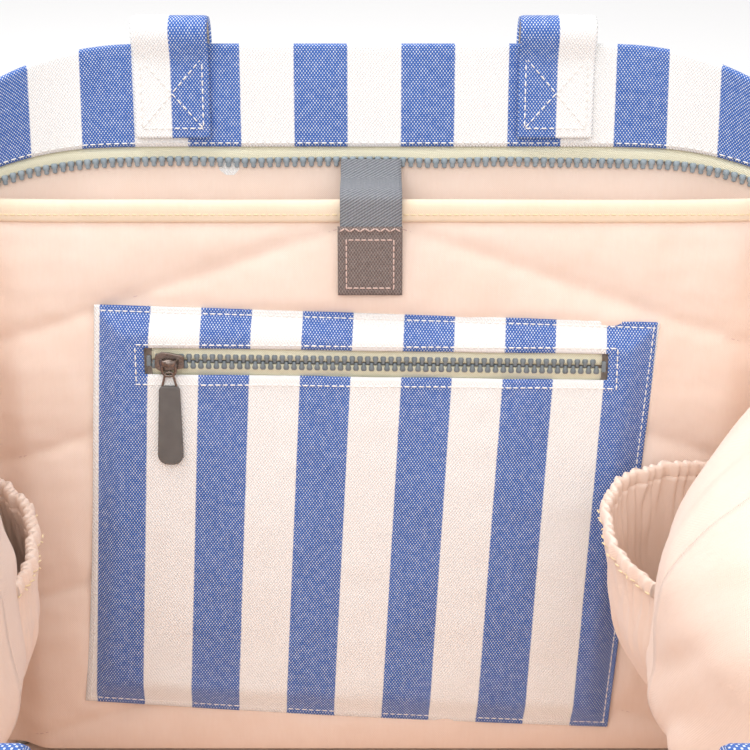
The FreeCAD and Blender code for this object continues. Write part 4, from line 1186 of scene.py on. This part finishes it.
# ======== handles ==============================================================================================
def handle_leg_inside(panel, x, hinge):
    """A leg's sewn end up the facing, and its way over the rim: places and widthwise directions at its middle."""
    up = np.linspace(0.885, 0.985, 26)
    depth = FACING_DEPTH + 0.5 * HANDLE_THICK + 0.15 * MM
    around = x / ring_at(up)[3]
    inside = skin(panel, around, up, np.full(26, depth))
    outward_y = 1.0 if panel == "back" else -1.0
    turn = np.linspace(0, math.pi, 24)
    over = np.stack([np.full(24, x), hinge[1] - outward_y * 6.4 * MM * np.cos(turn),
                     hinge[2] - 1.0 * MM + 6.0 * MM * np.sin(turn)], -1)
    return inside, over


def handle(panel):
    """One strap: sewn inside the rim, over it, down in a U outside with a quarter turn, and back."""
    left, right = HANDLE_X[panel]
    outward_y = 1.0 if panel == "back" else -1.0
    rim = 0.5 * (surface(panel, 0.0, 1.0) + skin(panel, 0.0, 1.0, FACING_DEPTH))
    hinge = np.array([0, rim[1], rim[2] + ROLL_ABOVE_RIM])
    plane = hinge[1] + outward_y * 7.1 * MM
    centre, half_span = 0.5 * (left + right), 0.5 * (right - left)
    legs = []
    for x in (left, right):
        inside, over = handle_leg_inside(panel, x, hinge)
        down = np.stack([np.full(50, x), np.full(50, plane), hinge[2] - 2 * MM - np.linspace(0, 1, 50)
                         * (HANDLE_STRAIGHT - 4 * MM)], -1)
        legs.append(soften(evenly(np.concatenate([inside, over, down]), 190), 14))
    turn = np.linspace(0, math.pi, 111)[1:-1]
    bend = np.stack([centre - half_span * np.cos(turn), np.full(109, plane),
                     hinge[2] - HANDLE_STRAIGHT - HANDLE_BOW * np.sin(turn)], -1)
    middle = np.concatenate([legs[0], bend, legs[1][::-1]])
    heading = unit(np.gradient(middle, axis=0))
    twist = np.zeros(len(middle))
    twist[190:299] = smooth(np.sin(turn))
    flat = np.zeros_like(middle)
    flat[:190, 0], flat[299:, 0] = 1, -1
    flat[190:299] = np.stack([-heading[190:299, 2], 0 * turn, heading[190:299, 0]], -1)
    flat = unit(flat)
    twist = 0.5 * math.pi * twist[:, None]
    wide = flat * np.cos(twist) + np.array([0, 1.0, 0]) * np.sin(twist)
    wide = unit(wide - heading * np.sum(wide * heading, -1, keepdims=True))
    normal = np.cross(wide, heading) * outward_y
    across = np.linspace(-0.5, 0.5, 25)[None, :, None] * HANDLE_WIDTH
    edge = smooth((0.5 * HANDLE_WIDTH - abs(across)) / (1.5 * MM))
    run = run_along(middle)
    level = 0.5 * HANDLE_THICK - 0.5 * MM * (1 - edge)
    points = middle[:, None] + wide[:, None] * across + normal[:, None] * level
    cloth_at = side_by_side(11 * MM + across[..., 0], run[:, None])
    piece = cloth(panel + "_handle_strap", points, cloth_at, [CANVAS, WEBBING_BACK], None,
                  HANDLE_THICK - 0.5 * MM, flip=panel == "front",
                  replaces=(panel + "_handle", panel + "_handle_end_left", panel + "_handle_end_right"))
    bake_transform(piece)
    paths, normals = [], []
    for x in (left, right):
        for corners in (((-12.6, 282), (12.6, 282), (12.6, 310), (-12.6, 310), (-12.6, 282)),
                        ((-12.6, 282), (12.6, 310)), ((12.6, 282), (-12.6, 310))):
            line = evenly(np.array(corners) * MM, 160)
            share = line[:, 1] / WALL_LENGTH
            around = (x + line[:, 0]) / ring_at(share)[3]
            depth = FACING_DEPTH + HANDLE_THICK + 0.2 * MM
            paths.append(skin(panel, around, share, np.full(160, depth)))
            normals.append(wall_normal(panel, around, share))
    stitches(panel + "_handle_stitches", paths, normals, pitch=3.2 * MM)
    seam_rows = slice(60, len(middle) - 60)
    rows = [middle[seam_rows] + wide[seam_rows] * side * 13.2 * MM + normal[seam_rows] * 0.5 * HANDLE_THICK
            for side in (-1, 1)]
    thread = stitches(panel + "_handle_edge_stitches", rows, [normal[seam_rows]] * 2, body=None, pitch=3.2 * MM)
    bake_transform(thread)


for handle_panel in ("back", "front"):
    handle(handle_panel)


# ======== floor, light and camera ===========================================================================
def studio():
    """A plain pale floor and surround under broad soft lamps, with the camera over the bag's front rim."""
    floor = make_mesh("floor", np.array([(-3, -3, -0.0012), (3, -3, -0.0012), (3, 3, -0.0012), (-3, 3, -0.0012)]),
                      [np.array([[0, 1, 2, 3]])])
    paint, tree = start_material("pale matt floor")
    finish_material(tree, rgb("#FBFAF8"), Roughness=0.9)
    floor.data.materials.append(paint)
    world = bpy.data.worlds.new("soft white room")
    world.use_nodes = True
    background = next(node for node in world.node_tree.nodes if node.type == "BACKGROUND")
    background.inputs["Color"].default_value = rgb("#FDFDFF")
    background.inputs["Strength"].default_value = 0.86
    bpy.context.scene.world = world
    for name, place, size, power in (("key", (-0.45, 0.35, 1.35), 0.9, 11), ("fill", (0.9, -0.5, 1.1), 1.2, 2),
                                     ("front", (-0.2, -1.2, 1.2), 1.2, 8)):
        lamp = bpy.data.lights.new(name, "AREA")
        lamp.size = size
        lamp.energy = power
        holder = bpy.data.objects.new(name, lamp)
        holder.location = place
        holder.rotation_euler = (Vector((0, 0.05, 0.15)) - Vector(place)).to_track_quat("-Z", "Y").to_euler()
        bpy.context.scene.collection.objects.link(holder)
    lens = bpy.data.cameras.new("camera")
    lens.lens = 63.1
    lens.clip_start = 0.01
    camera = bpy.data.objects.new("camera", lens)
    camera.location = (0, -0.357, 0.439)
    camera.rotation_euler = (math.radians(90 - 28.1), 0, 0)
    bpy.context.scene.collection.objects.link(camera)
    bpy.context.scene.camera = camera
    bpy.context.scene.view_settings.view_transform = "Standard"


studio()
